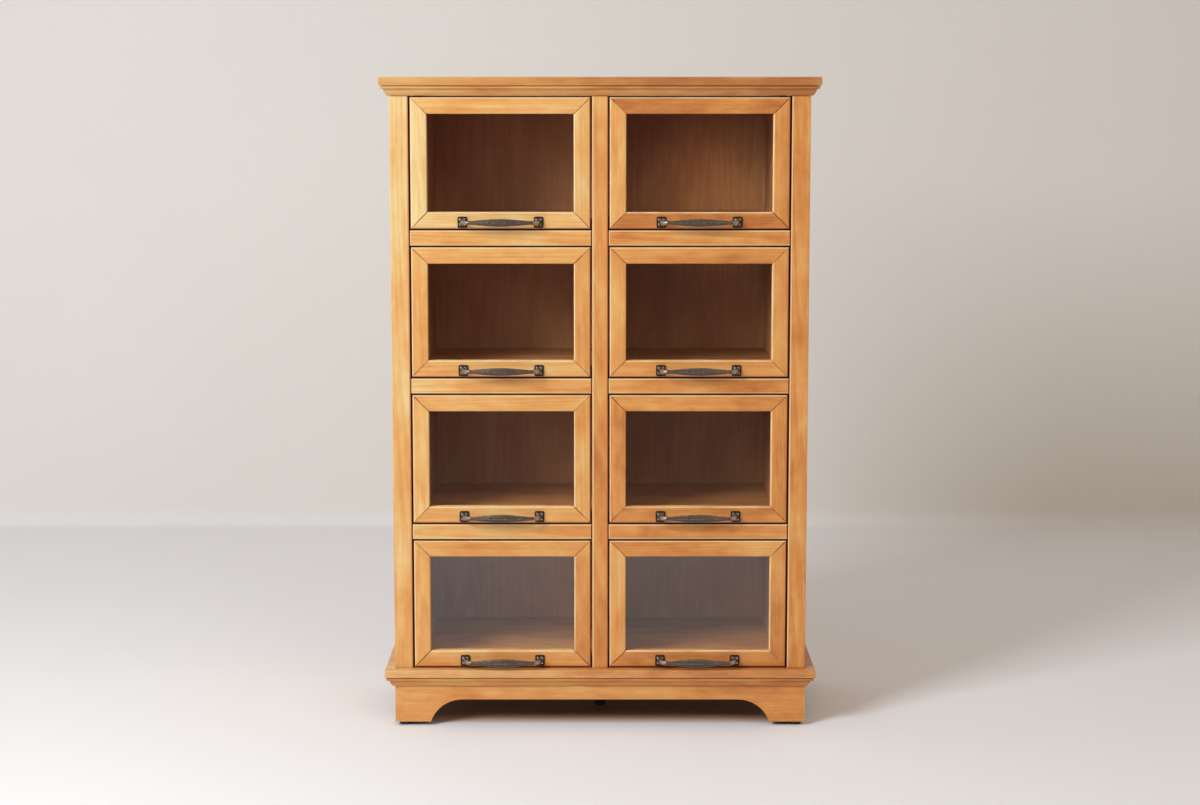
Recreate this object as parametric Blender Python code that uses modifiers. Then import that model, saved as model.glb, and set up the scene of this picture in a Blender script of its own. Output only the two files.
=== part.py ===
"""Display cabinet with two columns of glazed, top-hung doors.

A pine case stands on an arched plinth. Each row of doors hangs on one steel rod, which runs inside
the top members of both doors and is carried by the three stiles of the front frame. Pulled at its lower
edge, a door swings out and up. The front faces -Y, the viewer's left is -X, and the
origin lies on the floor under the middle of the whole.
"""

import math

import bmesh
import bpy
from mathutils import Matrix, Vector

# Driving dimensions, in metres.
FIT = 0.0003  # gap kept between pieces that touch
ROWS = 4
SIDES = {"left": -1, "right": 1}

# Doors, set flush in the front frame
DOOR_WIDTH = 0.333
DOOR_HEIGHT = 0.2425
DOOR_THICKNESS = 0.020
DOOR_GAP = 0.0025  # all round each door
DOOR_MEMBER = 0.031  # face width of the four members of a door frame
DOOR_EASE = 0.003  # rounding of a door's outer edges
SIGHT_CHAMFER = 0.002  # on the edge round the pane
GLASS_THICKNESS = 0.003
GLASS_SETBACK = 0.009  # front of the pane behind the front of the door
GLASS_BITE = 0.006  # how far the pane reaches into its groove

# Pivot of a row of doors
ROD_RADIUS = 0.002
PIVOT_BACK = 0.008  # rod axis behind the front of the door
PIVOT_DROP = 0.0075  # rod axis below the top of the door
ROD_SEAT = 0.008  # how far a rod reaches into the outer stiles
STOP_GAP = 0.0015  # room between a closed door and the edges that it closes against

# Front frame
STILE_WIDTH = 0.035
CENTRE_STILE_WIDTH = 0.030
RAIL_HEIGHT = 0.0285
EASE = 0.0008  # eased edge of sawn boards

# Case
CASE_DEPTH = 0.3525
SIDE_THICKNESS = 0.016
INNER_WALL_THICKNESS = 0.016
WALL_INSET = 0.023  # inner wall's face inboard of the outer stile's edge
DADO = 0.005  # depth of the shelves' housings in the inner walls
PARTITION_THICKNESS = 0.018
SHELF_THICKNESS = 0.021
SHELF_RISE = 0.020  # shelf's top above the rail in front of it, as a stop for the door
BACK_THICKNESS = 0.006

# Top and base
SLAB_THICKNESS = 0.016  # top board and base board
SLAB_EASE = 0.002
OVERHANG = 0.0185  # of both boards, at the front and the sides
SUB_TOP_THICKNESS = 0.018

# Moulding under both boards, from its lower edge up: a flat ovolo, a step, a rounded fillet and a quirk
MOULD_HEIGHT = 0.018
MOULD_LIP = 0.003
OVOLO_WIDTH = 0.007
OVOLO_HEIGHT = 0.0115
OVOLO_FLAT = 1.5  # 1 is a full quarter round, 2 a straight bevel
MOULD_STEP = 0.0007
FILLET_INSET = 0.0030  # fillet's face inside the edge of the board
FILLET_ROUND = 0.0025
QUIRK_HEIGHT = 0.0018  # mouth of a tapering groove, the dark line under the board
QUIRK_DEPTH = 0.0018

# Plinth
APRON_HEIGHT = 0.088
APRON_THICKNESS = 0.020
FOOT_WIDTH = 0.067
ARCH_RISE = 0.043
ARCH_RADIUS = 0.063
GLIDE_RADIUS = 0.0105
GLIDE_HEIGHT = 0.008
GLIDE_EDGE = 0.0015
GLIDE_INSET = 0.017  # glide's axis from the outer faces of the plinth
CENTRE_FOOT_BACK = 0.158  # centre foot's axis behind the front of the case
CENTRE_STEM_RADIUS = 0.008
CENTRE_BOOT_RADIUS = 0.0105
CENTRE_BOOT_HEIGHT = 0.014
CENTRE_FLANGE_RADIUS = 0.018
CENTRE_FLANGE_THICKNESS = 0.004

# Pulls
PULL_SPACING = 0.141  # between the plates' centres
PULL_RISE = 0.0124  # centre line above the lower edge of the door
PLATE_WIDTH = 0.018
PLATE_HEIGHT = 0.021
PLATE_THICKNESS = 0.003
PLATE_CORNER = 0.003
GRIP_REACH = 0.024  # grip's centre in front of the door
GRIP_HEIGHT = 0.016
GRIP_DEPTH = 0.0115
GRIP_FLUTE = 0.06  # share of the radius by which the hollows lie under the ridges
NECK_RADIUS = 0.0038  # half height where the grip is thinnest
POST_RADIUS = 0.0060  # half height where the post leaves its plate
BEND_RADIUS = 0.016

# Facets of round work
ROD_SIDES = 16
TURNED_STEPS = 24
ARC_STEPS = 8
GRIP_RIDGES = 6
GRIP_STEPS = 12
BEND_STEPS = 5

# Levels and places that follow from the sizes above
OPENING_WIDTH = DOOR_WIDTH + 2 * DOOR_GAP
OPENING_HEIGHT = DOOR_HEIGHT + 2 * DOOR_GAP
ROW_PITCH = OPENING_HEIGHT + RAIL_HEIGHT
HALF_FACE = STILE_WIDTH + OPENING_WIDTH + CENTRE_STILE_WIDTH / 2
STILE_EDGE = HALF_FACE - STILE_WIDTH
INNER_HALF = STILE_EDGE - WALL_INSET
FRAME_THICKNESS = DOOR_THICKNESS + STOP_GAP
ROD_BORE = ROD_RADIUS + FIT
GROOVE_WIDTH = GLASS_THICKNESS + 2 * FIT

PULL_PROJECTION = GRIP_REACH + GRIP_DEPTH / 2
FRONT = (PULL_PROJECTION - CASE_DEPTH) / 2
BACK = FRONT + CASE_DEPTH
FRAME_BACK = FRONT + FRAME_THICKNESS
BACK_FACE = BACK - BACK_THICKNESS
MID_DEPTH = (FRAME_BACK + BACK_FACE) / 2

BASE_BOTTOM = GLIDE_HEIGHT + APRON_HEIGHT
BASE_TOP = BASE_BOTTOM + SLAB_THICKNESS
CASE_TOP = BASE_TOP + ROWS * OPENING_HEIGHT + (ROWS - 1) * RAIL_HEIGHT
TOP_BOTTOM = CASE_TOP + SUB_TOP_THICKNESS
TOP = TOP_BOTTOM + SLAB_THICKNESS
FLOOR_TOP = BASE_TOP + SHELF_RISE

DOOR_X = (CENTRE_STILE_WIDTH + OPENING_WIDTH) / 2


def door_top(row):
    """Height of the upper edge of a row's doors, counting from 1 at the top."""
    return CASE_TOP - (row - 1) * ROW_PITCH - DOOR_GAP


def rail_top(row):
    """Height of the upper edge of the rail under a row."""
    return CASE_TOP - row * ROW_PITCH + RAIL_HEIGHT


def shelf_levels(row):
    """Lower and upper faces of the shelf under a row."""
    top = rail_top(row) + SHELF_RISE
    return top - SHELF_THICKNESS, top


def pivot_point(row, x):
    return Vector((x, FRONT + PIVOT_BACK, door_top(row) - PIVOT_DROP))


# Scene, collections and materials
def clear_scene():
    for obj in list(bpy.data.objects):
        bpy.data.objects.remove(obj, do_unlink=True)


def make_collection(name):
    collection = bpy.data.collections.new(name)
    bpy.context.scene.collection.children.link(collection)
    return collection


def make_material(name, colour, roughness, metallic=0.0, transmission=0.0):
    material = bpy.data.materials.new(name)
    material.use_nodes = True
    shader = material.node_tree.nodes["Principled BSDF"]
    shader.inputs["Base Color"].default_value = (*colour, 1.0)
    shader.inputs["Roughness"].default_value = roughness
    shader.inputs["Metallic"].default_value = metallic
    shader.inputs["Transmission Weight"].default_value = transmission
    return material


clear_scene()
PARTS = make_collection("display_cabinet")
CUTTERS = make_collection("display_cabinet_cutters")
CASE_PINE = make_material("case_pine", (0.60, 0.30, 0.095), 0.42)
DOOR_PINE = make_material("door_pine", (0.56, 0.27, 0.080), 0.40)
INNER_PINE = make_material("inner_pine", (0.26, 0.115, 0.035), 0.55)
PANE_GLASS = make_material("pane_glass", (0.92, 0.95, 0.94), 0.03, transmission=1.0)
PULL_METAL = make_material("pull_metal", (0.085, 0.070, 0.058), 0.38, metallic=1.0)
ROD_STEEL = make_material("rod_steel", (0.55, 0.55, 0.56), 0.30, metallic=1.0)
FOOT_PLASTIC = make_material("foot_plastic", (0.012, 0.012, 0.012), 0.45)


# Making and joining solids
def add_part(name, mesh, material, location=(0, 0, 0), parent=None):
    """A named piece of the cabinet, in the parts collection."""
    if not mesh.materials:
        mesh.materials.append(material)
    obj = bpy.data.objects.new(name, mesh)
    obj.location = location
    obj.parent = parent
    PARTS.objects.link(obj)
    return obj


def add_cutter(name, mesh, location=(0, 0, 0)):
    """A guide solid that other pieces are cut with."""
    obj = bpy.data.objects.new(name, mesh)
    obj.location = location
    obj.hide_render = True
    obj.display_type = "WIRE"
    CUTTERS.objects.link(obj)
    return obj


def combine(obj, other, operation="DIFFERENCE"):
    modifier = obj.modifiers.new(f"{operation.lower()}_{other.name}", "BOOLEAN")
    modifier.operation = operation
    modifier.solver = "EXACT"
    modifier.object = other


def ease_edges(obj, width, segments=1):
    modifier = obj.modifiers.new("eased_edges", "BEVEL")
    modifier.width = width
    modifier.segments = segments
    modifier.limit_method = "ANGLE"
    modifier.angle_limit = math.radians(40)


def finish_mesh(bm, name, smooth_angle=None):
    """Close a bmesh into a mesh whose faces point out, shaded smooth below an angle."""
    bmesh.ops.recalc_face_normals(bm, faces=bm.faces)
    mesh = bpy.data.meshes.new(name)
    bm.to_mesh(mesh)
    bm.free()
    if smooth_angle is not None:
        mesh.shade_smooth()
        mesh.set_sharp_from_angle(angle=smooth_angle)
    return mesh


def evaluated_mesh(obj):
    """The object's shape in place, with its modifiers or its curve's bevel, as a welded mesh."""
    bpy.context.view_layer.update()
    evaluated = obj.evaluated_get(bpy.context.evaluated_depsgraph_get())
    mesh = bpy.data.meshes.new_from_object(evaluated)
    mesh.transform(obj.matrix_world)
    bm = bmesh.new()
    bm.from_mesh(mesh)
    bmesh.ops.remove_doubles(bm, verts=bm.verts, dist=1e-6)
    bmesh.ops.recalc_face_normals(bm, faces=bm.faces)
    bm.to_mesh(mesh)
    bm.free()
    return mesh


def retire(*objects):
    """Remove helper objects once their shape has been taken."""
    for obj in objects:
        bpy.data.objects.remove(obj, do_unlink=True)


def box_mesh(name, size):
    bm = bmesh.new()
    bmesh.ops.create_cube(bm, size=1.0)
    bmesh.ops.scale(bm, vec=size, verts=bm.verts)
    return finish_mesh(bm, name)


def rod_mesh(name, radius, length):
    """A round bar along X."""
    bm = bmesh.new()
    bmesh.ops.create_cone(
        bm, cap_ends=True, segments=ROD_SIDES, radius1=radius, radius2=radius, depth=length
    )
    bmesh.ops.rotate(bm, verts=bm.verts, matrix=Matrix.Rotation(math.pi / 2, 3, "Y"))
    return finish_mesh(bm, name, math.radians(40))


def prism_mesh(name, sections):
    """A closed solid that rises through rectangles, each given as x0, x1, y0, y1 and height."""
    bm = bmesh.new()
    bmesh.ops.create_grid(bm, x_segments=1, y_segments=1, size=1.0)
    face = list(bm.faces)[0]
    for index, (x0, x1, y0, y1, z) in enumerate(sections):
        if index:
            grown = bmesh.ops.extrude_face_region(bm, geom=[face, *face.edges])
            face = [item for item in grown["geom"] if isinstance(item, bmesh.types.BMFace)][0]
        middle = face.calc_center_median()
        for vert in face.verts:
            right = vert.co.x > middle.x
            rear = vert.co.y > middle.y
            vert.co = (x1 if right else x0, y1 if rear else y0, z)
    return finish_mesh(bm, name)


def outline_mesh(name, points, thickness):
    """A flat outline, drawn as x and height, with its thickness along Y."""
    curve = bpy.data.curves.new(name, "CURVE")
    curve.dimensions = "2D"
    curve.fill_mode = "BOTH"
    curve.extrude = thickness / 2
    spline = curve.splines.new("POLY")
    spline.points.add(len(points) - 1)
    for point, (x, height) in zip(spline.points, points):
        point.co = (x, height, 0, 1)
    spline.use_cyclic_u = True
    drawing = add_cutter(name, curve)
    mesh = evaluated_mesh(drawing)
    retire(drawing)
    bpy.data.curves.remove(curve)
    mesh.transform(Matrix.Rotation(math.pi / 2, 4, "X"))
    return mesh


def turned_part(name, profile, material, location):
    """A turned piece: a profile of radius and height, from the top down its outer side."""
    mesh = bpy.data.meshes.new(name)
    verts = [(radius, 0, height) for radius, height in profile]
    mesh.from_pydata(verts, [(i, i + 1) for i in range(len(verts) - 1)], [])
    obj = add_part(name, mesh, material, location)
    screw = obj.modifiers.new("turned", "SCREW")
    screw.axis = "Z"
    screw.steps = TURNED_STEPS
    screw.render_steps = TURNED_STEPS
    screw.use_merge_vertices = True
    screw.merge_threshold = 0.00001
    return obj


def seated(lo, hi, sides):
    """Draw a box in by half the fit on its seated sides: xyz are the low sides, XYZ the high ones."""
    lo, hi = Vector(lo), Vector(hi)
    for axis, letter in enumerate("xyz"):
        if letter in sides:
            lo[axis] += FIT / 2
        if letter.upper() in sides:
            hi[axis] -= FIT / 2
    return lo, hi


def board(name, lo, hi, material, sides="", ease=EASE, segments=1):
    """A sawn board between two corners, with eased edges and room on its seated sides."""
    lo, hi = seated(lo, hi, sides)
    obj = add_part(name, box_mesh(name, hi - lo), material, (lo + hi) / 2)
    ease_edges(obj, ease, segments)
    return obj


def box_cutter(name, lo, hi):
    lo, hi = Vector(lo), Vector(hi)
    return add_cutter(name, box_mesh(name, hi - lo), (lo + hi) / 2)


# Top and base boards with their mouldings
def moulding_profile():
    """Offsets from the face, and heights, from the moulding's lower edge up."""
    points = []
    for step in range(ARC_STEPS + 1):
        turn = math.pi / 2 * step / ARC_STEPS
        out = MOULD_LIP + OVOLO_WIDTH * math.sin(turn) ** OVOLO_FLAT
        points.append((out, OVOLO_HEIGHT * (1 - math.cos(turn) ** OVOLO_FLAT)))
    fillet_out = OVERHANG - FILLET_INSET
    fillet_base = OVOLO_HEIGHT + MOULD_STEP
    for step in range(ARC_STEPS // 2 + 1):
        turn = math.pi / 2 * step / (ARC_STEPS // 2)
        out = fillet_out - FILLET_ROUND * (1 - math.sin(turn))
        points.append((out, fillet_base + FILLET_ROUND * (1 - math.cos(turn))))
    points.append((fillet_out, MOULD_HEIGHT - QUIRK_HEIGHT))
    points.append((fillet_out - QUIRK_DEPTH, MOULD_HEIGHT - QUIRK_HEIGHT / 2))
    points.append((fillet_out - QUIRK_DEPTH, MOULD_HEIGHT - FIT))
    return points


def build_moulding(name, top):
    """One mitred run along the front and both sides, under a board whose lower face is at top."""
    bottom = top - MOULD_HEIGHT
    sections = []
    for out, height in moulding_profile():
        sections.append((-HALF_FACE - out, HALF_FACE + out, FRONT - out, BACK, bottom + height))
    run = add_part(name, prism_mesh(name, sections), CASE_PINE)
    margin = OVERHANG
    core = box_cutter(
        f"{name}_core",
        (-HALF_FACE - FIT, FRONT - FIT, bottom - margin),
        (HALF_FACE + FIT, BACK + margin, top + margin),
    )
    combine(run, core)


def build_slab(name, bottom, top, sides):
    board(
        name,
        (-HALF_FACE - OVERHANG, FRONT - OVERHANG, bottom),
        (HALF_FACE + OVERHANG, BACK, top),
        CASE_PINE,
        sides,
        ease=SLAB_EASE,
        segments=2,
    )


def build_top_and_base():
    build_slab("top_board", TOP_BOTTOM, TOP, "z")
    board("carcass_top", (-HALF_FACE, FRONT, CASE_TOP), (HALF_FACE, BACK, TOP_BOTTOM), INNER_PINE, "zZ")
    build_moulding("crown_moulding", TOP_BOTTOM)
    build_slab("base_board", BASE_BOTTOM, BASE_TOP, "zZ")
    build_moulding("base_moulding", BASE_BOTTOM)


# Case
def build_case():
    side_inner = HALF_FACE - SIDE_THICKNESS
    wall_outer = INNER_HALF + INNER_WALL_THICKNESS
    board(
        "bottom_panel",
        (-wall_outer, FRAME_BACK, BASE_TOP),
        (wall_outer, BACK_FACE, FLOOR_TOP),
        INNER_PINE,
        "yYzZ",
    )
    board(
        "back_panel",
        (-side_inner, BACK_FACE, BASE_TOP),
        (side_inner, BACK, CASE_TOP),
        INNER_PINE,
        "xXyzZ",
    )
    partition = board(
        "centre_partition",
        (-PARTITION_THICKNESS / 2, FRAME_BACK, FLOOR_TOP),
        (PARTITION_THICKNESS / 2, BACK_FACE, CASE_TOP),
        INNER_PINE,
        "yYzZ",
    )
    walls = {}
    for side, sign in SIDES.items():
        outer, inner = sorted((sign * side_inner, sign * HALF_FACE))
        board(
            f"side_panel_{side}", (outer, FRAME_BACK, BASE_TOP), (inner, BACK, CASE_TOP), CASE_PINE, "yzZ"
        )
        low, high = sorted((sign * INNER_HALF, sign * wall_outer))
        walls[side] = board(
            f"inner_wall_{side}", (low, FRAME_BACK, FLOOR_TOP), (high, BACK_FACE, CASE_TOP), INNER_PINE, "yYzZ"
        )
    for row in range(1, ROWS):
        build_shelf(row, partition, walls)


def build_shelf(row, partition, walls):
    """A shelf housed in both inner walls and cross-lapped with the partition, half the depth each."""
    bottom, top = shelf_levels(row)
    reach = INNER_HALF + DADO
    shelf = board(f"shelf_{row}", (-reach, FRAME_BACK, bottom), (reach, BACK_FACE, top), INNER_PINE, "xXyY")
    margin = SHELF_THICKNESS
    housing = box_cutter(
        f"shelf_{row}_housing",
        (-reach - FIT / 2, FRAME_BACK - margin, bottom - FIT),
        (reach + FIT / 2, BACK_FACE + margin, top + FIT),
    )
    for wall in walls.values():
        combine(wall, housing)
    half = PARTITION_THICKNESS / 2 + FIT
    rear_lap = box_cutter(
        f"shelf_{row}_lap",
        (-half, MID_DEPTH - FIT / 2, bottom - margin),
        (half, BACK_FACE + margin, top + margin),
    )
    combine(shelf, rear_lap)
    front_lap = box_cutter(
        f"partition_lap_{row}",
        (-PARTITION_THICKNESS, FRAME_BACK - margin, bottom - FIT),
        (PARTITION_THICKNESS, MID_DEPTH + FIT / 2, top + FIT),
    )
    combine(partition, front_lap)


# Front frame and the rods that carry the doors
def build_front_frame():
    stiles = {}
    for side, sign in SIDES.items():
        low, high = sorted((sign * STILE_EDGE, sign * HALF_FACE))
        stiles[side] = board(
            f"face_stile_{side}", (low, FRONT, BASE_TOP), (high, FRAME_BACK, CASE_TOP), CASE_PINE, "YzZ"
        )
    half = CENTRE_STILE_WIDTH / 2
    stiles["centre"] = board(
        "face_stile_centre", (-half, FRONT, BASE_TOP), (half, FRAME_BACK, CASE_TOP), CASE_PINE, "YzZ"
    )
    for row in range(1, ROWS):
        build_rail(row, stiles["centre"])
    for row in range(1, ROWS + 1):
        build_pivot_rod(row, stiles)


def build_rail(row, centre_stile):
    """A rail across the whole front, halved into the back of the centre stile."""
    top = rail_top(row)
    bottom = top - RAIL_HEIGHT
    half = CENTRE_STILE_WIDTH / 2 + FIT
    lap = FRONT + FRAME_THICKNESS / 2
    rail = board(
        f"face_rail_{row}", (-STILE_EDGE, FRONT, bottom), (STILE_EDGE, FRAME_BACK, top), CASE_PINE, "xXY"
    )
    margin = FRAME_THICKNESS
    rail_notch = box_cutter(
        f"rail_notch_{row}",
        (-half, FRONT - margin, bottom - margin),
        (half, lap + FIT / 2, top + margin),
    )
    combine(rail, rail_notch)
    stile_notch = box_cutter(
        f"stile_notch_{row}",
        (-CENTRE_STILE_WIDTH, lap - FIT / 2, bottom - FIT),
        (CENTRE_STILE_WIDTH, FRAME_BACK + margin, top + FIT),
    )
    combine(centre_stile, stile_notch)


def build_pivot_rod(row, stiles):
    """The rod of one row, in blind bores of the outer stiles and a through bore of the centre one."""
    reach = STILE_EDGE + ROD_SEAT
    place = pivot_point(row, 0)
    name = f"pivot_rod_{row}"
    add_part(name, rod_mesh(name, ROD_RADIUS, 2 * (reach - FIT)), ROD_STEEL, place)
    bore = add_cutter(f"{name}_bore", rod_mesh(f"{name}_bore", ROD_BORE, 2 * reach), place)
    for stile in stiles.values():
        combine(stile, bore)


# Plinth
def bracket_outline(start, end, height, mitre_gap=0.0):
    """An apron with a bracket foot at each end: the arch leaves each foot on an arc and runs level."""
    sweep = math.acos(1 - ARCH_RISE / ARCH_RADIUS)
    run = ARCH_RADIUS * math.sin(sweep)
    points = [(start + mitre_gap, 0)]
    for side, foot in ((-1, start + FOOT_WIDTH), (1, end - FOOT_WIDTH)):
        centre = foot - side * run
        arc = []
        for step in range(ARC_STEPS + 1):
            turn = sweep * (1 - step / ARC_STEPS)
            lift = ARCH_RISE - ARCH_RADIUS * (1 - math.cos(turn))
            arc.append((centre + side * ARCH_RADIUS * math.sin(turn), max(lift, 0)))
        points += arc if side < 0 else arc[::-1]
    points += [(end, 0), (end, height), (start + mitre_gap, height)]
    return points


def mitre(mesh, at, by):
    """Shift the vertices on the inner face (+Y) at one end of an outline, to cut that end at 45 degrees."""
    for vert in mesh.vertices:
        if vert.co.y > 0 and abs(vert.co.x - at) < FIT:
            vert.co.x += by


def build_plinth():
    height = APRON_HEIGHT - FIT
    front = outline_mesh("front_apron", bracket_outline(-HALF_FACE, HALF_FACE, height), APRON_THICKNESS)
    mitre(front, -HALF_FACE, APRON_THICKNESS)
    mitre(front, HALF_FACE, -APRON_THICKNESS)
    add_part("front_apron", front, CASE_PINE, (0, FRONT + APRON_THICKNESS / 2, GLIDE_HEIGHT))

    mitre_gap = FIT * math.sqrt(2)
    for side, sign in SIDES.items():
        name = f"side_apron_{side}"
        outline = bracket_outline(FRONT, BACK, height, mitre_gap)
        mesh = outline_mesh(name, outline, APRON_THICKNESS)
        mitre(mesh, FRONT + mitre_gap, APRON_THICKNESS)
        turn = Matrix.Rotation(math.pi / 2, 4, "Z")
        if sign < 0:
            turn = Matrix.Diagonal((-1, 1, 1, 1)) @ turn
        mesh.transform(turn)
        if sign < 0:
            mesh.flip_normals()
        place = sign * (HALF_FACE - APRON_THICKNESS / 2)
        add_part(name, mesh, CASE_PINE, (place, 0, GLIDE_HEIGHT))

    inner = HALF_FACE - APRON_THICKNESS
    board(
        "rear_apron",
        (-inner, BACK - APRON_THICKNESS, GLIDE_HEIGHT + ARCH_RISE),
        (inner, BACK, BASE_BOTTOM),
        CASE_PINE,
        "xXZ",
    )


def build_feet():
    top = GLIDE_HEIGHT - FIT
    profile = [
        (0, top),
        (GLIDE_RADIUS, top),
        (GLIDE_RADIUS, GLIDE_EDGE),
        (GLIDE_RADIUS - GLIDE_EDGE, 0),
        (0, 0),
    ]
    for side, sign in SIDES.items():
        x = sign * (HALF_FACE - GLIDE_INSET)
        turned_part(f"glide_front_{side}", profile, FOOT_PLASTIC, (x, FRONT + GLIDE_INSET, 0))
        turned_part(f"glide_rear_{side}", profile, FOOT_PLASTIC, (x, BACK - GLIDE_INSET, 0))

    top = BASE_BOTTOM - FIT
    flange = top - CENTRE_FLANGE_THICKNESS
    profile = [
        (0, top),
        (CENTRE_FLANGE_RADIUS, top),
        (CENTRE_FLANGE_RADIUS, flange),
        (CENTRE_STEM_RADIUS, flange),
        (CENTRE_STEM_RADIUS, CENTRE_BOOT_HEIGHT),
        (CENTRE_BOOT_RADIUS, CENTRE_BOOT_HEIGHT),
        (CENTRE_BOOT_RADIUS, GLIDE_EDGE),
        (CENTRE_BOOT_RADIUS - GLIDE_EDGE, 0),
        (0, 0),
    ]
    turned_part("centre_foot", profile, FOOT_PLASTIC, (0, FRONT + CENTRE_FOOT_BACK, 0))


# Doors: each piece is drawn about the pivot, in the middle of the door's width
DOOR_FACE = -PIVOT_BACK
DOOR_FOOT = PIVOT_DROP - DOOR_HEIGHT
DOOR_MIDDLE = PIVOT_DROP - DOOR_HEIGHT / 2
WINDOW_WIDTH = DOOR_WIDTH - 2 * DOOR_MEMBER
WINDOW_HEIGHT = DOOR_HEIGHT - 2 * DOOR_MEMBER


def door_frame_mesh():
    """Four members glued up round a window, with a groove for the pane and a bore for the rod."""
    frame = board(
        "door_frame",
        (-DOOR_WIDTH / 2, DOOR_FACE, DOOR_FOOT),
        (DOOR_WIDTH / 2, DOOR_FACE + DOOR_THICKNESS, PIVOT_DROP),
        DOOR_PINE,
        ease=DOOR_EASE,
        segments=3,
    )
    sections = []
    for depth, grow in ((-SIGHT_CHAMFER, 2), (SIGHT_CHAMFER, 0), (2 * DOOR_THICKNESS, 0)):
        x = WINDOW_WIDTH / 2 + grow * SIGHT_CHAMFER
        y = WINDOW_HEIGHT / 2 + grow * SIGHT_CHAMFER
        sections.append((-x, x, -y, y, -depth))
    window_mesh = prism_mesh("door_window", sections)
    window_mesh.transform(Matrix.Rotation(math.pi / 2, 4, "X"))
    window = add_cutter("door_window", window_mesh, (0, DOOR_FACE, DOOR_MIDDLE))
    groove_x = WINDOW_WIDTH / 2 + GLASS_BITE + FIT
    groove_z = WINDOW_HEIGHT / 2 + GLASS_BITE + FIT
    groove_front = DOOR_FACE + GLASS_SETBACK - FIT
    groove = box_cutter(
        "door_groove",
        (-groove_x, groove_front, DOOR_MIDDLE - groove_z),
        (groove_x, groove_front + GROOVE_WIDTH, DOOR_MIDDLE + groove_z),
    )
    bore = add_cutter("door_bore", rod_mesh("door_bore", ROD_BORE, 2 * DOOR_WIDTH))
    for cutter in (window, groove, bore):
        combine(frame, cutter)
    mesh = evaluated_mesh(frame)
    retire(frame, window, groove, bore)
    return mesh


def glass_mesh():
    size = (WINDOW_WIDTH + 2 * GLASS_BITE, GLASS_THICKNESS, WINDOW_HEIGHT + 2 * GLASS_BITE)
    mesh = box_mesh("glass", size)
    mesh.transform(Matrix.Translation((0, DOOR_FACE + GLASS_SETBACK + GLASS_THICKNESS / 2, DOOR_MIDDLE)))
    return mesh


def rounded_rectangle(width, height, corner):
    points = []
    for quarter in range(4):
        middle = math.pi / 4 + quarter * math.pi / 2
        x = math.copysign(width / 2 - corner, math.cos(middle))
        y = math.copysign(height / 2 - corner, math.sin(middle))
        for step in range(4):
            turn = quarter * math.pi / 2 + step * math.pi / 6
            points.append((x + corner * math.cos(turn), y + corner * math.sin(turn)))
    return points


def grip_path():
    """Half of the pull's centre line, from a plate to the middle: x, y and the half height there."""
    path = []
    post_x = -PULL_SPACING / 2
    bend_y = BEND_RADIUS - GRIP_REACH
    path.append((post_x, -PLATE_THICKNESS / 2, POST_RADIUS))
    for step in range(BEND_STEPS + 1):
        share = step / BEND_STEPS
        turn = math.pi / 2 * share
        x = post_x + BEND_RADIUS * (1 - math.cos(turn))
        y = bend_y - BEND_RADIUS * math.sin(turn)
        path.append((x, y, NECK_RADIUS + (POST_RADIUS - NECK_RADIUS) * (1 - share) ** 2))
    length = PULL_SPACING / 2 - BEND_RADIUS
    swell = GRIP_HEIGHT / 2 - NECK_RADIUS
    half_steps = GRIP_STEPS // 2
    for step in range(1, half_steps + 1):
        share = step / half_steps
        x = -length * (1 - share)
        path.append((x, -GRIP_REACH, NECK_RADIUS + swell * math.sin(math.pi / 2 * share)))
    return path


def grip_section():
    """Cross-section of the grip at its fullest: an ellipse with lengthwise ridges and shallow hollows."""
    curve = bpy.data.curves.new("grip_section", "CURVE")
    curve.dimensions = "2D"
    spline = curve.splines.new("POLY")
    count = 2 * GRIP_RIDGES
    spline.points.add(count - 1)
    for index, point in enumerate(spline.points):
        turn = 2 * math.pi * index / count
        scale = 1 - GRIP_FLUTE * (index % 2)
        x = GRIP_DEPTH / 2 * scale * math.cos(turn)
        y = GRIP_HEIGHT / 2 * scale * math.sin(turn)
        point.co = (x, y, 0, 1)
    spline.use_cyclic_u = True
    return add_cutter("grip_section", curve)


def pull_mesh():
    """A bow pull: a swelling ridged grip on two posts, each on a plate. Origin on the door's face."""
    section = grip_section()
    half = grip_path()
    path = half + [(-x, y, radius) for x, y, radius in half[-2::-1]]
    curve = bpy.data.curves.new("grip", "CURVE")
    curve.dimensions = "3D"
    curve.twist_mode = "Z_UP"
    curve.bevel_mode = "OBJECT"
    curve.bevel_object = section
    curve.use_fill_caps = True
    spline = curve.splines.new("POLY")
    spline.points.add(len(path) - 1)
    for point, (x, y, radius) in zip(spline.points, path):
        point.co = (x, y, 0, 1)
        point.radius = radius / (GRIP_HEIGHT / 2)
    drawing = add_cutter("grip", curve)
    pull = add_cutter("pull", evaluated_mesh(drawing))
    plates = []
    for side, sign in SIDES.items():
        name = f"pull_plate_{side}"
        mesh = outline_mesh(name, rounded_rectangle(PLATE_WIDTH, PLATE_HEIGHT, PLATE_CORNER), PLATE_THICKNESS)
        plate = add_cutter(name, mesh, (sign * PULL_SPACING / 2, -FIT - PLATE_THICKNESS / 2, 0))
        combine(pull, plate, "UNION")
        plates.append(plate)
    mesh = evaluated_mesh(pull)
    retire(section, drawing, pull, *plates)
    mesh.shade_smooth()
    mesh.set_sharp_from_angle(angle=math.radians(35))
    return mesh


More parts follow.
